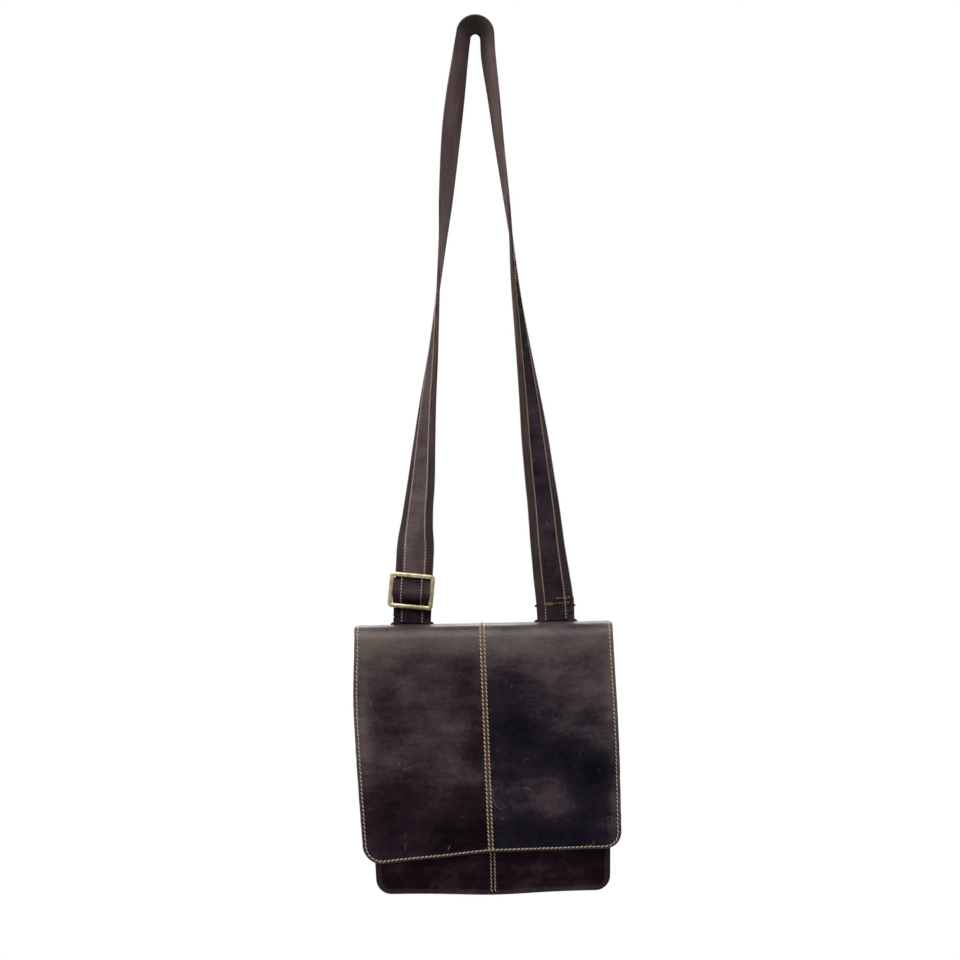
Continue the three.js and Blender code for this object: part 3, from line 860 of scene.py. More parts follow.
def outward_of(path):
    """Unit directions away from the middle along a rim of (x, height)."""
    found = []
    for i in range(len(path)):
        a, b = Vector(path[max(0, i - 1)]), Vector(path[min(len(path) - 1, i + 1)])
        run = (b - a).normalized()
        found.append(Vector((run.y, -run.x)))
    found[0].y = found[-1].y = 0.0
    return found


def body_shell(name, inset, top, roll, seam, materials, groove=0.0):
    """The body as one shell, open at the top: front, rolled edges, gusset and back."""
    front = body_front(inset + roll, top, seam)
    columns, count = len(front[0]), len(front)
    rim_cells = [(r, 0) for r in range(count - 1)]
    rim_cells += [(count - 1, c) for c in range(columns)]
    rim_cells += [(r, columns - 1) for r in reversed(range(count - 1))]
    rim = [front[r][c] for r, c in rim_cells]
    away = outward_of(rim)
    near, far = BODY_FRONT + inset, -inset
    section = [(roll * math.sin(a), near + roll * (1 - math.cos(a))) for a in angles(0, 90, 5)]
    section += [(roll, y) for y in spread(near + roll, far - roll, 6)[1:-1]]
    section += [(roll * math.sin(a), far - roll * (1 - math.cos(a))) for a in angles(90, 0, 5)]
    points, uvs, wear, faces = [], [], [], []

    def add_point(x, y, height, uv, rubbed):
        pressed = 0.0
        if y == near:
            lip = 0.35 * math.exp(-(((abs(x) - SEAM_ROWS) / 0.8) ** 2))
            pressed = groove * (math.exp(-((x / 0.9) ** 2)) - lip)
        points.append(settled(x, y, height) + Vector((0, pressed, 0)))
        uvs.append(uv)
        wear.append(rubbed)
        return len(points) - 1

    def add_sheet(y):
        sheet = []
        for r, row in enumerate(front):
            low_rim = [(r, c) in rim_cells and row[c][1] < BODY_LOW + 30 for c in range(columns)]
            sheet.append([add_point(x, y, height, (x, height), 0.45 if low else 0.05)
                          for (x, height), low in zip(row, low_rim)])
        return sheet

    fronts, backs = add_sheet(near), add_sheet(far)
    for r in range(count - 1):
        for c in range(columns - 1):
            cell = [(r, c), (r + 1, c), (r + 1, c + 1), (r, c + 1)]
            faces.append([fronts[a][b] for a, b in cell])
            faces.append([backs[a][b] for a, b in reversed(cell)])

    bands = [[fronts[r][c] for r, c in rim_cells]]
    for j, (reach, y) in enumerate(section[1:-1], 1):
        rubbed = 0.55 if j <= 4 or j == len(section) - 4 else 0.12
        bands.append([add_point(x + out.x * reach, y, height + out.y * reach, (k * 6.0, y), rubbed)
                      for k, ((x, height), out) in enumerate(zip(rim, away))])
    bands.append([backs[r][c] for r, c in rim_cells])
    for here, there in zip(bands, bands[1:]):
        for k in range(len(rim) - 1):
            faces.append([here[k], there[k], there[k + 1], here[k + 1]])
    return make_piece(name, points, faces, uvs, materials, wear=wear)


def front_surface(x, height, lift=0.0):
    """Point on the front face of the body, and its normal."""
    here = settled(x, BODY_FRONT, height)
    right = settled(x + 1, BODY_FRONT, height) - here
    up = settled(x, BODY_FRONT, height + 1) - here
    normal = right.cross(up).normalized()
    return here + normal * lift, normal


def add_body():
    seam = (0.0, 0.5, 1.1, SEAM_ROWS, 2.8, 4.2)
    shell = body_shell("bag_shell", 0.0, FRONT_TOP, BODY_ROLL, seam,
                       [MAT["body"], MAT["edge"]], groove=0.8)
    place(thicken(shell, LEATHER - 0.1), "bag", "leather",
          "front_panel_left", "front_panel_right", "gusset", "back_panel")
    rows = []
    for x in (-SEAM_ROWS, SEAM_ROWS):
        heights = spread(FRONT_TOP - 14, BODY_LOW, 60)
        rows.append([front_surface(x, height, 0.15) for height in heights])
    place(stitch_rows("front_seam_stitches", rows, pitch=3.6, length=3.4, radius=0.45),
          "bag", "thread")


def add_lining():
    inset = LEATHER + 0.5
    cloth = body_shell("lining_bag", inset, FRONT_TOP - 0.5, 4.0, (0.0, 6.0),
                       [MAT["lining"]] * 2)
    place(thicken(cloth, LINING, rounding=0.2), "bag", "lining", "lining")


def add_front_binding():
    """Leather turned over the front panel's top edge, sewn through near its fold."""
    leaf = 1.0
    face = BODY_FRONT - GAP - leaf
    inner = BODY_FRONT + LEATHER + leaf
    fold_y, radius = (face + inner) / 2, (inner - face) / 2
    top = FRONT_TOP + 1.3 - radius
    turn = [(fold_y - radius * math.cos(a), top + radius * math.sin(a))
            for a in angles(180, 0, 8)]
    profile = [(inner, FRONT_TOP - 9), (inner, top - 4), *turn, (face, top - 5),
               (face, FRONT_TOP - 12)]
    half, middle = body_half(FRONT_TOP), middle_x(FRONT_TOP)
    columns = spread(-half + 1, half - 1, 44)
    points, uvs, wear = [], [], []
    run = 0.0
    for r, (y, height) in enumerate(profile):
        run += math.dist(profile[max(0, r - 1)], (y, height))
        for x in columns:
            points.append((middle + x, y, BAG_TOP + height))
            uvs.append((x, -run))
            wear.append(0.3 if r in (0, len(profile) - 1) else 0.08)
    obj = make_piece("mouth_binding", points, grid_faces(len(profile), len(columns)), uvs,
                     [MAT["body"], MAT["edge"]], wear=wear)
    place(thicken(obj, leaf, rounding=0.25), "bag", "leather", "front_binding")
    level = BAG_TOP + FRONT_TOP - 9
    row = straight(Vector((middle - half + 4, face, level)),
                   Vector((middle + half - 4, face, level)), FORWARD, 40)
    place(stitch_rows("mouth_stitches", [row], pitch=4, length=3.3), "bag", "thread")


def add_inner_pocket():
    """A slip pocket on the rear lining, its mouth standing a little open."""
    low, high = box_mm("inner_pocket")
    columns, rows = spread(low.x + 1, high.x - 1, 24), spread(high.z, low.z, 20)
    points, uvs = [], []
    for z in rows:
        gape = 2.6 * smoothstep(z, low.z + 40, high.z)
        for x in columns:
            share = (x - columns[0]) / (columns[-1] - columns[0])
            points.append((x, low.y - gape * math.sin(math.pi * share) - 0.4, z))
            uvs.append((x, z))
    obj = make_piece("inner_slip_pocket", points, grid_faces(len(rows), len(columns)), uvs,
                     [MAT["lining"]] * 2)
    place(thicken(obj, LINING, rounding=0.2), "bag", "lining", "inner_pocket")
    y, bottom = low.y - 0.5, low.z + 3
    paths = [straight(Vector((x, y, high.z - 3)), Vector((x, y, bottom)), FORWARD, 12)
             for x in (low.x + 3, high.x - 3)]
    paths.append(straight(Vector((low.x + 3, y, bottom)), Vector((high.x - 3, y, bottom)),
                          FORWARD, 20))
    place(stitch_rows("pocket_stitches", paths, pitch=3, length=2.3, radius=0.3),
          "bag", "thread")


# -------------------------------------------------------------------- the flap

BEND_Y = FLAP_FRONT + FLAP_BEND
BEND_HEIGHT = FLAP_TOP - FLAP_BEND
YOKE_Y = box_mm("flap_yoke")[1].y
YOKE_TURN = 2.4  # radius at which the yoke turns forward

# The flap's outer face is measured by its run: the distance along it from the split on
# top of the bag, forward and down the front, or backward (negative) and down the back.
RUN_BEND = FLAP_SPLIT_Y - BEND_Y
RUN_FRONT = RUN_BEND + FLAP_BEND * math.pi / 2
RUN_REAR = -(YOKE_Y - YOKE_TURN - FLAP_SPLIT_Y)
RUN_BACK = RUN_REAR - YOKE_TURN * math.pi / 2


def flap_profile(run):
    """(y, height) on the flap's plain outer face and its normal there."""
    if run > RUN_FRONT:
        return FLAP_FRONT, BEND_HEIGHT - (run - RUN_FRONT), FORWARD
    if run > RUN_BEND:
        angle = (run - RUN_BEND) / FLAP_BEND
        normal = Vector((0, -math.sin(angle), math.cos(angle)))
        return BEND_Y + FLAP_BEND * normal.y, BEND_HEIGHT + FLAP_BEND * normal.z, normal
    if run > RUN_REAR:
        return FLAP_SPLIT_Y - run, FLAP_TOP, Vector((0, 0, 1))
    if run > RUN_BACK:
        angle = (RUN_REAR - run) / YOKE_TURN
        normal = Vector((0, math.sin(angle), math.cos(angle)))
        return (YOKE_Y - YOKE_TURN + YOKE_TURN * normal.y,
                FLAP_TOP - YOKE_TURN + YOKE_TURN * normal.z, normal)
    return YOKE_Y, FLAP_TOP - YOKE_TURN - (RUN_BACK - run), BACKWARD


def run_at(height):
    """Run at a height on the front of the flap."""
    return RUN_FRONT + BEND_HEIGHT - height


def seam_x(run):
    """The flap's middle seam, from the bag's middle line."""
    share = max(0.0, run - RUN_FRONT) / (run_at(SEAM_LOW) - RUN_FRONT)
    return lerp(SEAM_TOP, SEAM_END, share)


def flap_half(side, run):
    """Distance of the flap's edge from the bag's middle line."""
    widths = [Vector((w, 0, 0)) for w in FLAP_SIDES[side]["widths"]]
    length = run_at(FLAP_SIDES[side]["low"]) - RUN_FRONT
    share = min(1.0, max(0.0, (run - RUN_FRONT) / length))
    wide = catmull(widths, share * (len(widths) - 1)).x + 0.3 * waver(run, 0, 6, 21)
    yoke = body_half(0) - 1.0
    return lerp(yoke, wide, smoothstep(run, RUN_BACK, RUN_REAR + 7))


def flap_low(x):
    """Height of the flap's lower edge at a place from the bag's middle line."""
    side = FLAP_SIDES["left" if x < SEAM_END else "right"]
    half, corner = side["widths"][-1], side["corner"]
    line = lerp(SEAM_LOW, side["low"], (x - SEAM_END) / (side["to"] * half - SEAM_END))
    wavy = 0.5 * waver(x, 0, 34, 9) * min(1.0, abs(x) / 30)
    past = max(0.0, abs(x) - (half - corner))
    return line + wavy + corner - math.sqrt(max(0.0, corner**2 - past**2))


def flap_lift(x, run):
    """How far the flap's face stands off its plain shape, x from the middle line."""
    half = flap_half("left" if x < 0 else "right", run)
    across = min(1.0, abs(x) / half)
    height = flap_profile(run)[1]
    down = smoothstep(run, RUN_FRONT - 8, RUN_FRONT + 60)
    inside = max(-128, min(127, x))  # short of the flap's sides
    to_edge = run_at(flap_low(inside)) - run
    belly = 2.4 * (1 - across**2) * math.sin(math.pi * min(1.0, max(0.0, -height / 235)))
    uneven = 0.75 * waver(x, height, 85, 11) + 0.3 * waver(x, height, 27, 12)
    uneven += 0.1 * waver(x, height, 9, 13)
    turned = -1.7 * smoothstep(half - abs(x), 13, 0) * smoothstep(run, RUN_BEND, RUN_FRONT + 30)
    hugging = -1.0 * smoothstep(to_edge, 32, 0) * down
    top = (0.35 * waver(x, run, 50, 14) - 0.5 * (1 - across**2)) * smoothstep(run, RUN_REAR, 0)
    lift = belly + uneven * down + turned + hugging + top * (1 - down)
    shown = smoothstep(run, RUN_BACK, RUN_REAR + 4)
    off = abs(x - seam_x(run))
    ridge = 0.7 * math.exp(-((off / 1.3) ** 4))
    ridge -= 0.28 * math.exp(-(((off - SEAM_ROWS) / 0.6) ** 2))
    sewn = -0.25 * math.exp(-(((half - abs(x) - EDGE_ROW) / 0.9) ** 2))
    sewn -= 0.25 * math.exp(-(((to_edge - 2.4) / 0.8) ** 2))
    rounded = -0.25 * smoothstep(half - abs(x), 1.2, 0)
    return lift * shown + ridge + sewn + rounded


def flap_point(x, run, lift=0.0, follow=1.0):
    """Point on the flap's outer face in the CAD's frame, x from the middle line. follow is
    the share of the face's unevenness that it takes on."""
    y, height, normal = flap_profile(run)
    here = Vector((middle_x(height) + x, y, BAG_TOP + height))
    return here + normal * (flap_lift(x, run) * follow + lift)


def flap_surface(x, run, lift=0.0):
    """A point on the flap's outer face and its normal."""
    here = flap_point(x, run)
    right = flap_point(x + 0.8, run) - flap_point(x - 0.8, run)
    down = flap_point(x, run + 0.8) - flap_point(x, run - 0.8)
    normal = down.cross(right).normalized()
    return here + normal * lift, normal


def seam_to_edge(side):
    """Width of one half of the flap at its lower end."""
    return FLAP_SIDES[side]["widths"][-1] - FLAP_SIDES[side]["to"] * SEAM_END


def flap_columns(inset):
    """Distances from the seam of all columns at the flap's lower edge."""
    seam = (0.0, 0.7, 1.2, 1.6, SEAM_ROWS, 2.4, 3.2, 6.0)
    sides = {}
    for name, side in FLAP_SIDES.items():
        half = seam_to_edge(name) - inset
        columns = side_columns(half, side["corner"] - inset / 2, seam)
        near_edge = [half - d for d in (6.5, 4.6, 3.4, 2.2, 1.1)]
        columns = [c for c in columns if all(abs(c - e) > 0.5 for e in near_edge)]
        sides[name] = sorted([*columns, *near_edge])
    return [-x for x in reversed(sides["left"][1:])] + sides["right"]


def flap_sheet(name, runs, last_rows, thickness, materials, inset=0.0, lift=0.0, follow=1.0):
    """A sheet that follows the flap, with a back face and a rim. Past the front bend, runs
    are shares of the way down to the first of last_rows, which are distances from its lower
    edge. materials are those of the left, the right, the seam's band and the rim."""
    columns = flap_columns(inset)
    points, backs, uvs, wear, tone, slots = [], [], [], [], [], []
    lowest = last_rows[0] if last_rows else 0.0
    rows = [(run, lowest) for run in runs] + [(runs[-1], above) for above in last_rows[1:]]
    for run, above in rows:
        for x in columns:
            side = "left" if x < 0 else "right"
            to = FLAP_SIDES[side]["to"]
            edge = seam_to_edge(side) - inset
            end = run_at(flap_low(SEAM_END + x * (edge + inset) / edge)) - inset
            here = run if run <= RUN_FRONT else lerp(RUN_FRONT, end - above, run - RUN_FRONT)
            seam = seam_x(here)
            place_x = seam + x * (flap_half(side, here) - to * seam - inset) / edge
            points.append(flap_point(place_x, here, lift, follow))
            backs.append(points[-1] - flap_profile(here)[2] * thickness)
            uvs.append((place_x, -here))
            off = flap_half(side, here) - abs(place_x)
            low = end - here if here > RUN_FRONT else off
            worn = 0.6 * smoothstep(min(off, low), 3.6, 0.8)
            # lighter along the front bend: rubbing at the fold and a painted highlight where the
            # light from above falls
            bend = 0.35 * smoothstep(abs(here - RUN_FRONT), 20, 6)
            band = 0.2 * smoothstep(abs(x), 2.0, 1.0)
            wear.append(min(1.0, worn + bend + band + 0.05))
            tone.append(flap_painted_light_and_tone(place_x, here))
    faces = grid_faces(len(rows), len(columns))
    for i in range(len(faces)):
        c = i % (len(columns) - 1)
        middle = (columns[c] + columns[c + 1]) / 2
        slots.append(2 if abs(middle) < SEAM_ROWS else int(middle > 0))
    count, wide = len(points), len(columns)
    faces += [tuple(count + i for i in reversed(face)) for face in faces]
    # the rim runs down the left edge, along the bottom, up the right edge and back
    rim = [wide * r for r in range(len(rows))]
    rim += list(range(rim[-1] + 1, count))
    rim += [wide * r - 1 for r in range(len(rows) - 1, 0, -1)]
    rim += list(range(wide - 2, -1, -1))
    faces += [(b, a, count + a, count + b) for a, b in zip(rim, rim[1:])]
    slots += slots + [3] * (len(rim) - 1)
    obj = make_piece(name, points + backs, faces, uvs * 2, materials, slots,
                     wear=wear * 2, tone=tone * 2)
    return round_edges(obj, min(0.35, thickness / 4))


# Where the flap's leather is painted lighter (above 0) or darker (below 0): place from the middle
# line, height, reach across and up, and how much. They are partly its rubbed and oily patches and
# partly painted light and shade from above: lighter high up and along its sides, darker along the
# bottom.
FLAP_TONES = [
    (-75, -36, 80, 28, 0.5),
    (-60, -84, 80, 42, 0.5),
    (-127, -80, 10, 110, 0.9),
    (-65, -138, 60, 28, 0.4),
    (-16, -124, 13, 15, -0.9),
    (-104, -172, 34, 34, -0.5),
    (-40, -205, 80, 30, -0.6),
    (60, -34, 60, 24, 0.5),
    (88, -66, 40, 28, 1.0),
    (34, -98, 36, 32, -1.1),
    (104, -108, 17, 14, 0.8),
    (98, -146, 27, 28, -1.2),
    (60, -170, 32, 22, 0.6),
    (40, -208, 90, 22, -0.8),
    (112, -194, 18, 18, 0.5),
    (123, -60, 9, 70, 1.1),
    (123, -190, 7, 60, 0.9),
]


def flap_painted_light_and_tone(x, run):
    """How light the flap's leather is painted: above 0 lighter, below 0 darker. It holds painted
    light from above, lighter towards the top with a painted highlight along the front bend, and
    the listed patches.
    """
    height = flap_profile(run)[1]
    # painted light from above: lighter towards the top, and a painted highlight where the front bend
    # turns down
    tone = 0.4 * smoothstep(height, -45, 0) + 1.1 * math.exp(-(((height + 10) / 14) ** 2))
    for middle, level, across, up, amount in FLAP_TONES:
        tone += amount * math.exp(-(((x - middle) / across) ** 2 + ((height - level) / up) ** 2))
    return tone


FLAP_MATERIALS = [MAT["hide_left"], MAT["hide_right"], MAT["band"], MAT["edge"]]
FRONT_RUNS = (spread(0, RUN_BEND, 4)[:-1] + spread(RUN_BEND, RUN_FRONT, 12)
              + [RUN_FRONT + share for share in spread(0, 1, 44)[1:]])
BACK_RUNS = (spread(RUN_BACK - (FLAP_TOP - YOKE_TURN - YOKE_LOW), RUN_BACK, 12)[:-1]
             + spread(RUN_BACK, RUN_REAR, 6)[:-1] + spread(RUN_REAR, 0, 8))
FRONT_JOINT = (("flap_top", "flap_front"),
               (0, FLAP_FRONT, BAG_TOP + BEND_HEIGHT + 5.3),
               (0, FLAP_FRONT, BAG_TOP + BEND_HEIGHT - 6.8))
BACK_JOINT = (("bag", "flap_top"),
              (0, -0.3, BAG_TOP + FLAP_TOP),
              (0, -8.5, BAG_TOP + FLAP_TOP))


def flap_edge_path(side, inset, low_inset):
    """Stitch path from the split down one side and along the bottom to the seam."""
    facts = FLAP_SIDES[side]
    sign = facts["to"]
    corner = facts["corner"] - inset
    half = facts["widths"][-1]
    path = []
    bottom = run_at(flap_low(sign * (half - facts["corner"])))
    for run in spread(0, bottom - facts["corner"] - low_inset + inset, 60):
        path.append((sign * (flap_half(side, run) - inset), run))
    x, run = path[-1]
    centre_x, centre_run = x - sign * corner, run
    drop = bottom - low_inset - centre_run
    for a in angles(0, 90, 8)[1:]:
        path.append((centre_x + sign * corner * math.cos(a), centre_run + drop * math.sin(a)))
    for x in spread(centre_x, SEAM_END, 30)[1:]:
        path.append((x, run_at(flap_low(x)) - low_inset))
    return [flap_surface(x, run, 0.1) for x, run in path]


def add_flap():
    front = flap_sheet("flap_leather_front", FRONT_RUNS, (7.0, 4.8, 3.4, 2.4, 1.4, 0.6, 0.0),
                       LEATHER, FLAP_MATERIALS)
    spanning(front, *FRONT_JOINT, "leather", "flap_front_left", "flap_front_right")
    back = flap_sheet("flap_leather_back", BACK_RUNS, (), 1.6, FLAP_MATERIALS)
    spanning(back, *BACK_JOINT, "leather", "flap_yoke", "flap_top_left", "flap_top_right")
    lining = flap_sheet("flap_lining_sheet", FRONT_RUNS, (8.0, 4.0, 1.5, 0.0), LINING,
                        [MAT["lining"]] * 4, inset=6.0, lift=-LEATHER - 0.15, follow=0.96)
    spanning(lining, *FRONT_JOINT, "lining", "flap_front_lining", "flap_top_lining")


def add_flap_stitches():
    sides = [flap_edge_path(side, EDGE_ROW, 2.2) for side in FLAP_SIDES]
    spanning(stitch_rows("flap_edge_stitches", sides), *FRONT_JOINT, "thread")
    low = run_at(SEAM_LOW) - 1.5
    seams = [[flap_surface(seam_x(run) + x, run, 0.15) for run in spread(0, low, 70)]
             for x in (-SEAM_ROWS, SEAM_ROWS)]
    sewn = stitch_rows("flap_seam_stitches", seams, radius=0.66, slant=-0.85)
    spanning(sewn, *FRONT_JOINT, "thread")

    rear = [[flap_surface(SEAM_TOP + x, run, 0.15) for run in spread(RUN_BACK - 6, 0, 30)]
            for x in (-SEAM_ROWS, SEAM_ROWS)]
    for side, facts in FLAP_SIDES.items():
        rear.append([flap_surface(facts["to"] * (flap_half(side, run) - EDGE_ROW), run, 0.1)
                     for run in spread(RUN_BACK, 0, 24)])
    spanning(stitch_rows("flap_top_stitches", rear), *BACK_JOINT, "thread")

    half = body_half(0) - 5
    bottom = YOKE_LOW + 4
    yoke = []
    for height in (bottom, bottom + 4):
        yoke.append([flap_surface(x, RUN_BACK + height - (FLAP_TOP - YOKE_TURN), 0.1)
                     for x in spread(-half, half, 30)])
    place(stitch_rows("yoke_stitches", yoke), "bag", "thread")


# -------------------------------------------------------- rings, tabs and slider


def tube(points, uvs, faces, path, up, half_wide, half_thick, closed, sides=14, power=2.6):
    """A bar of rounded section along a path; half_thick is measured along up."""
    first, count = len(points), len(path)
    for i, here in enumerate(path):
        before = path[i - 1] if closed or i else path[0]
        after = path[(i + 1) % count] if closed or i < count - 1 else path[-1]
        across = (after - before).cross(up).normalized()
        for k in range(sides):
            angle = 2 * math.pi * k / sides
            c, s = math.cos(angle), math.sin(angle)
            wide = math.copysign(abs(c) ** (2 / power), c) * half_wide
            thick = math.copysign(abs(s) ** (2 / power), s) * half_thick
            points.append(here + across * wide + up * thick)
            uvs.append((i * 3.0, k * 1.0))
    faces += [face[::-1] for face in ring_faces(count, sides, first, closed)]
    if not closed:
        faces.append(tuple(first + k for k in reversed(range(sides))))
        faces.append(tuple(first + (count - 1) * sides + k for k in range(sides)))


def rounded_frame(half_x, half_z, corner):
    """Closed path in the (x, z) plane round a rectangle with rounded corners."""
    path = []
    for cx, cz, start in ((1, 1, 0), (-1, 1, 90), (-1, -1, 180), (1, -1, 270)):
        for a in angles(start, start + 90, 6):
            path.append(Vector((cx * (half_x - corner) + corner * math.cos(a), 0,
                                cz * (half_z - corner) + corner * math.sin(a))))
        flat = half_z - corner if cx != cz else half_x - corner
        if flat > 6:
            end, turned = path[-1], math.radians(start)
            ahead = Vector((-math.cos(turned), 0, -math.sin(turned)))
            path += [end + ahead * (2 * flat * share) for share in (0.25, 0.5, 0.75)]
    return path


SLIDER_LOW, SLIDER_HIGH = box_mm("slider_buckle")
SLIDER_MIDDLE = (SLIDER_LOW + SLIDER_HIGH) / 2
SLIDER_HALF_WIDTH = 22.9
SLIDER_HALF_HEIGHT = 18.1
SLIDER_BAR = 4.5
SLIDER_THICK = SLIDER_HIGH.y - SLIDER_LOW.y
SLIDER_TILT = math.radians(2.3)
AT_SLIDER = Matrix.Translation(SLIDER_MIDDLE) @ Matrix.Rotation(STRAP_ANGLE, 4, "Y")


def add_slider():
    """The three-bar slider: a rounded frame and the middle bar that the strap rides over."""
    half_bar = SLIDER_BAR / 2
    outer = rounded_frame(SLIDER_HALF_WIDTH - half_bar, SLIDER_HALF_HEIGHT - half_bar, 2.2)
    points, uvs, faces = [], [], []
    tube(points, uvs, faces, outer, FORWARD, half_bar, SLIDER_THICK / 2, True)
    reach = SLIDER_HALF_WIDTH - SLIDER_BAR + 0.6
    bar = [Vector((x, 0.2, 0)) for x in spread(-reach, reach, 10)]
    bar_high, bar_thick = 3.6, 3.0
    tube(points, uvs, faces, bar, FORWARD, bar_high / 2, bar_thick / 2, False)
    tilt = Matrix.Rotation(SLIDER_TILT, 3, "Y")
    points = [AT_SLIDER @ (tilt @ p) for p in points]
    obj = make_piece("slider_frame", points, faces, uvs, [MAT["brass"]])
    place(obj, "slider", "antique_brass", "slider_buckle")


def add_rings():
    """The dark wire rings that join the strap to the bag."""
    for side in ("left", "right"):
        low, high = box_mm(f"ring_{side}")
        wire = (high.y - low.y) / 2
        middle = (low + high) / 2
        frame_path = rounded_frame((high.x - low.x) / 2 - wire, (high.z - low.z) / 2 - wire, 2.0)
        path = [p + middle for p in frame_path]
        points, uvs, faces = [], [], []
        tube(points, uvs, faces, path, FORWARD, wire, wire, True, power=2.0)
        obj = make_piece(f"wire_ring_{side}", points, faces, uvs, [MAT["steel_black"]])
        place(obj, "rings", "black_steel", f"ring_{side}")


def ribbon(name, path, half, thickness, materials, wear=0.2, tones=None):
    """A band of cloth or leather whose outer face follows a path of (point, normal).
    tones are values along the path, dark below 0."""
    across = (-half, -half + 0.8, -half * 0.6, 0, half * 0.6, half - 0.8, half)
    points, uvs, rubbed, tone = [], [], [], []
    run = 0.0
    for i, (here, normal) in enumerate(path):
        run += (here - path[max(0, i - 1)][0]).length
        for at in across:
            edge = abs(at) == half
            points.append(here + Vector((at, 0, 0)) - normal * (0.3 if edge else 0.0))
            uvs.append((at, -run))
            rubbed.append(wear if edge else 0.08)
            tone.append(tones[i] if tones else 0.0)
    faces = grid_faces(len(path), len(across))
    obj = make_piece(name, points, faces, uvs, materials, wear=rubbed, tone=tone)
    return thicken(obj, thickness, rounding=0.25)


RING_LOW, RING_HIGH = box_mm("ring_left")
WIRE = (RING_HIGH.y - RING_LOW.y) / 2
RING_Y = (RING_LOW.y + RING_HIGH.y) / 2
UPPER_BAR = RING_HIGH.z - WIRE
LOWER_BAR = RING_LOW.z + WIRE


def add_strap_ends():
    """The webbing's turn round each ring. The right end is sewn to the strap; the left
    one comes back up to the slider."""
    radius = WIRE + GAP + WEBBING
    top = BAG_TOP + STRAP_START
    return_top = box_mm("strap_return_left")[1].z

    def turned(x, rear_top, lean, name, tone):
        """Down in front of the ring's upper bar, round under it and up behind it."""
        bar = Vector((x, RING_Y, UPPER_BAR))
        front, rear = bar + FORWARD * radius, bar + BACKWARD * radius
        up = rear_top - UPPER_BAR
        path = straight(Vector((x, front.y, top)), front, FORWARD, 5)[:-1]
        path += turn_about(bar, radius, 180, 360, 14)
        path += straight(rear, rear + Vector((lean * up, 0, up)), BACKWARD, 8)[1:]
        return ribbon(name, path, STRAP_WIDTH / 2, WEBBING, [MAT["webbing"]] * 2,
                      tones=[tone] * len(path))

    place(turned(STRAP_X, BAG_TOP + 27, 0.0, "strap_end_loop", 0.0),
          "strap", "webbing", "strap_end_right")
    obj = turned(-STRAP_X, return_top, math.tan(STRAP_ANGLE), "strap_return_loop", -1.6)
    spanning(obj, ("strap", "slider"), (-STRAP_X, 0, top + 1), (-STRAP_X, 0, return_top - 4),
             "webbing", "strap_loop_left", "strap_return_left")


def right_leg(height):
    """Station of the strap at a height on its right leg."""
    leg = [station for station in strap_stations(1.0) if station[0].x > 20]
    return min(leg, key=lambda station: abs(station[0].z - BAG_TOP - height))


def add_end_sewing():
    """The worn rows that hold the right end, a rubbed bar of stitches beside them, and
    the sealed corners of its fold."""

    def row(height, start, end):
        centre, side, normal, _ = right_leg(height)
        outer = centre + normal * (OVERLAY_FACE - 0.1)
        return straight(outer + side * start, outer + side * end, normal, 8)

    long_rows = [row(21.6, STRAP_ROWS, -STRAP_ROWS - 5), row(26.0, -1.0, -STRAP_ROWS - 6)]
    place(stitch_rows("end_stitches", long_rows, pitch=3.1, length=2.3, radius=0.5, slant=0.5,
                      material="thread_worn"), "strap", "thread")
    bars = [row(height, STRAP_ROWS - 0.6, 2.5) for height in (20.4, 22.6)]
    place(stitch_rows("end_bar_stitches", bars, pitch=1.7, length=1.3, radius=0.34, slant=0.9,
                      material="thread_worn"), "strap", "thread")

    centre, side, normal, _ = right_leg(20.5)
    points, uvs, faces = [], [], []
    for sign, lower in ((1, 0.0), (-1, 2.4)):
        knot = [centre + side * (sign * (STRAP_WIDTH / 2 + out)) + normal * 0.2
                - Vector((0, 0, lower)) for out in spread(-1.6, 1.7, 5)]
        tube(points, uvs, faces, knot, normal, 1.0, 0.75, False, sides=8, power=2.0)
    place(make_piece("end_corners", points, faces, uvs, [MAT["sealed"]]), "strap", "webbing")


def add_strap_fold():
    """The strap where it rises over the slider's middle bar, leather on webbing."""
    half_high = SLIDER_HALF_HEIGHT - SLIDER_BAR + 0.5
    back = SLIDER_HIGH.y
    crest = back - SLIDER_THICK - GAP - WEBBING - OVERLAY
    rise = back - crest
    radius = (half_high**2 + rise**2) / (2 * rise)
    reach = math.degrees(math.asin(half_high / radius))
    centre = crest + radius - SLIDER_MIDDLE.y

    def layer(out):
        return turn_about(Vector((0, centre, 0)), radius - out, 180 - reach, 180 + reach, 16)

    def at_slider(obj):
        obj.data.transform(Matrix.Scale(MM, 4) @ AT_SLIDER @ Matrix.Scale(1 / MM, 4))
        return obj

    half = SLIDER_HALF_WIDTH - SLIDER_BAR + 0.2
    # painted highlight on the crest over the middle bar and painted shade towards the top and bottom
    # bars
    tones = [2.2 * math.exp(-((2.0 * share) ** 2)) - 1.6 for share in spread(-1, 1, 16)]
    # the webbing beside the strip takes the same painted highlight and shade, darker overall
    cloth = ribbon("fold_webbing", layer(OVERLAY + OVERLAY_GAP), half, WEBBING, [MAT["webbing"]] * 2,
                   tones=[tone - 0.8 for tone in tones])
    place(at_slider(cloth), "slider", "webbing", "strap_fold")
    path = layer(0.0)
    hide = ribbon("fold_leather", path, OVERLAY_WIDTH / 2, OVERLAY,
                  [MAT["strap"], MAT["edge"]], wear=0.5, tones=tones)
    place(at_slider(hide), "slider", "strap_leather")
    rows = [[(point + Vector((at, 0, 0)), normal) for point, normal in path]
            for at in (-STRAP_ROWS, STRAP_ROWS)]
    sewn = stitch_rows("fold_stitches", rows, **STRAP_SEWING)
    place(at_slider(sewn), "slider", "thread")


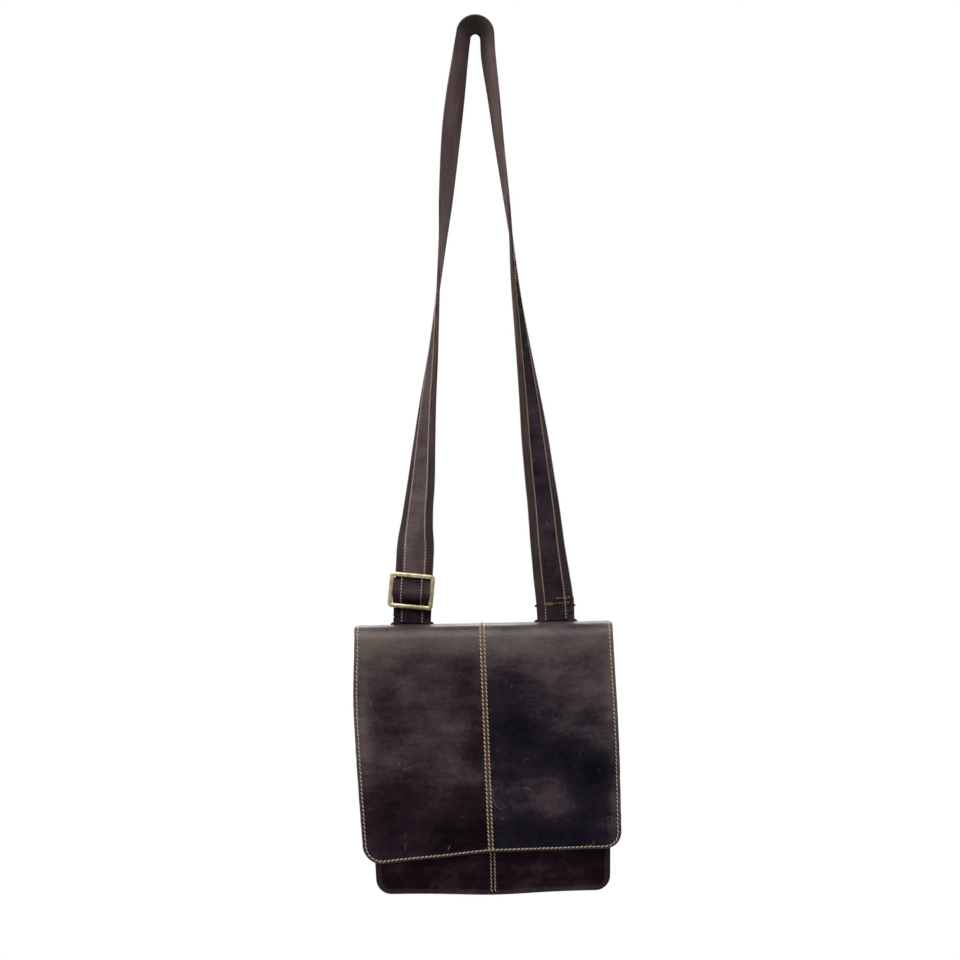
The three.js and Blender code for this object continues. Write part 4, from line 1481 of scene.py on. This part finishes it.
def add_ring_tabs():
    """Leather folded over each ring's lower bar and sewn to the yoke."""
    leaf = 1.8
    radius = WIRE + GAP + leaf
    for side, x in (("left", -STRAP_X), ("right", STRAP_X)):
        low, high = box_mm(f"ring_tab_{side}")
        half = (high.x - low.x) / 2
        front_y = low.y + 0.02
        flat = low.y + 2 * leaf
        path = straight(Vector((x, front_y, low.z)), Vector((x, front_y, LOWER_BAR - 9)),
                        FORWARD, 6)
        path += turn_about(Vector((x, RING_Y, LOWER_BAR)), radius, 180, 0, 14)
        for share in spread(0, 1, 12)[1:]:
            y = lerp(RING_Y + radius, flat, smoothstep(share, 0.0, 0.3))
            path.append((Vector((x, y, lerp(LOWER_BAR, low.z, share))), BACKWARD))
        obj = ribbon(f"ring_tab_leather_{side}", path[::-1], half, leaf,
                     [MAT["body"], MAT["edge"]], wear=0.5)
        place(obj, "bag", "leather", f"ring_tab_{side}")
        box_low, box_high = low.z + 3.5, LOWER_BAR - 13
        corners = [Vector((x + to * (half - 3.5), flat + 0.1, z))
                   for to, z in ((-1, box_low), (1, box_low), (1, box_high), (-1, box_high))]
        ends = [(0, 1), (1, 2), (2, 3), (3, 0), (0, 2), (1, 3)]
        paths = [straight(corners[a], corners[b], BACKWARD, 10) for a, b in ends]
        place(stitch_rows(f"ring_tab_stitches_{side}", paths, pitch=3.4, length=2.8),
              "bag", "thread")


def add_magnets():
    """Snap magnets, turned from profiles of (radius, height off the leather)."""
    profiles = {
        "socket": [(0, 0.3), (2.6, 0.3), (3.0, 1.0), (6.6, 1.3), (7.6, 1.1), (8.0, 0.6), (8.0, 0)],
        "stud": [(0, 1.7), (2.0, 1.7), (2.5, 1.2), (3.0, 0.8), (6.8, 0.9), (7.7, 0.7), (8.0, 0)],
    }
    sides = 48
    for kind, profile in profiles.items():
        for side in ("left", "right"):
            low, high = box_mm(f"magnet_{kind}_{side}")
            middle = (low + high) / 2
            base, facing = (high.y, -1) if kind == "socket" else (low.y, 1)
            points, uvs = [], []
            for radius, out in profile:
                for k, a in enumerate(angles(0, 360, sides)[:-1]):
                    points.append((middle.x + radius * math.cos(a), base + facing * out,
                                   middle.z + facing * radius * math.sin(a)))
                    uvs.append((radius, k))
            faces = ring_faces(len(profile), sides)
            obj = make_piece(f"snap_{kind}_{side}", points, faces, uvs, [MAT["magnet"]])
            body = "bag" if kind == "socket" else "flap_front"
            place(obj, body, "magnet_steel", f"magnet_{kind}_{side}")


add_camera()
add_floor()
add_lighting()
add_strap_webbing()
add_strap_overlay()
add_strap_ends()
add_end_sewing()
add_slider()
add_strap_fold()
add_rings()
add_ring_tabs()
add_body()
add_lining()
add_front_binding()
add_inner_pocket()
add_magnets()
add_flap()
add_flap_stitches()
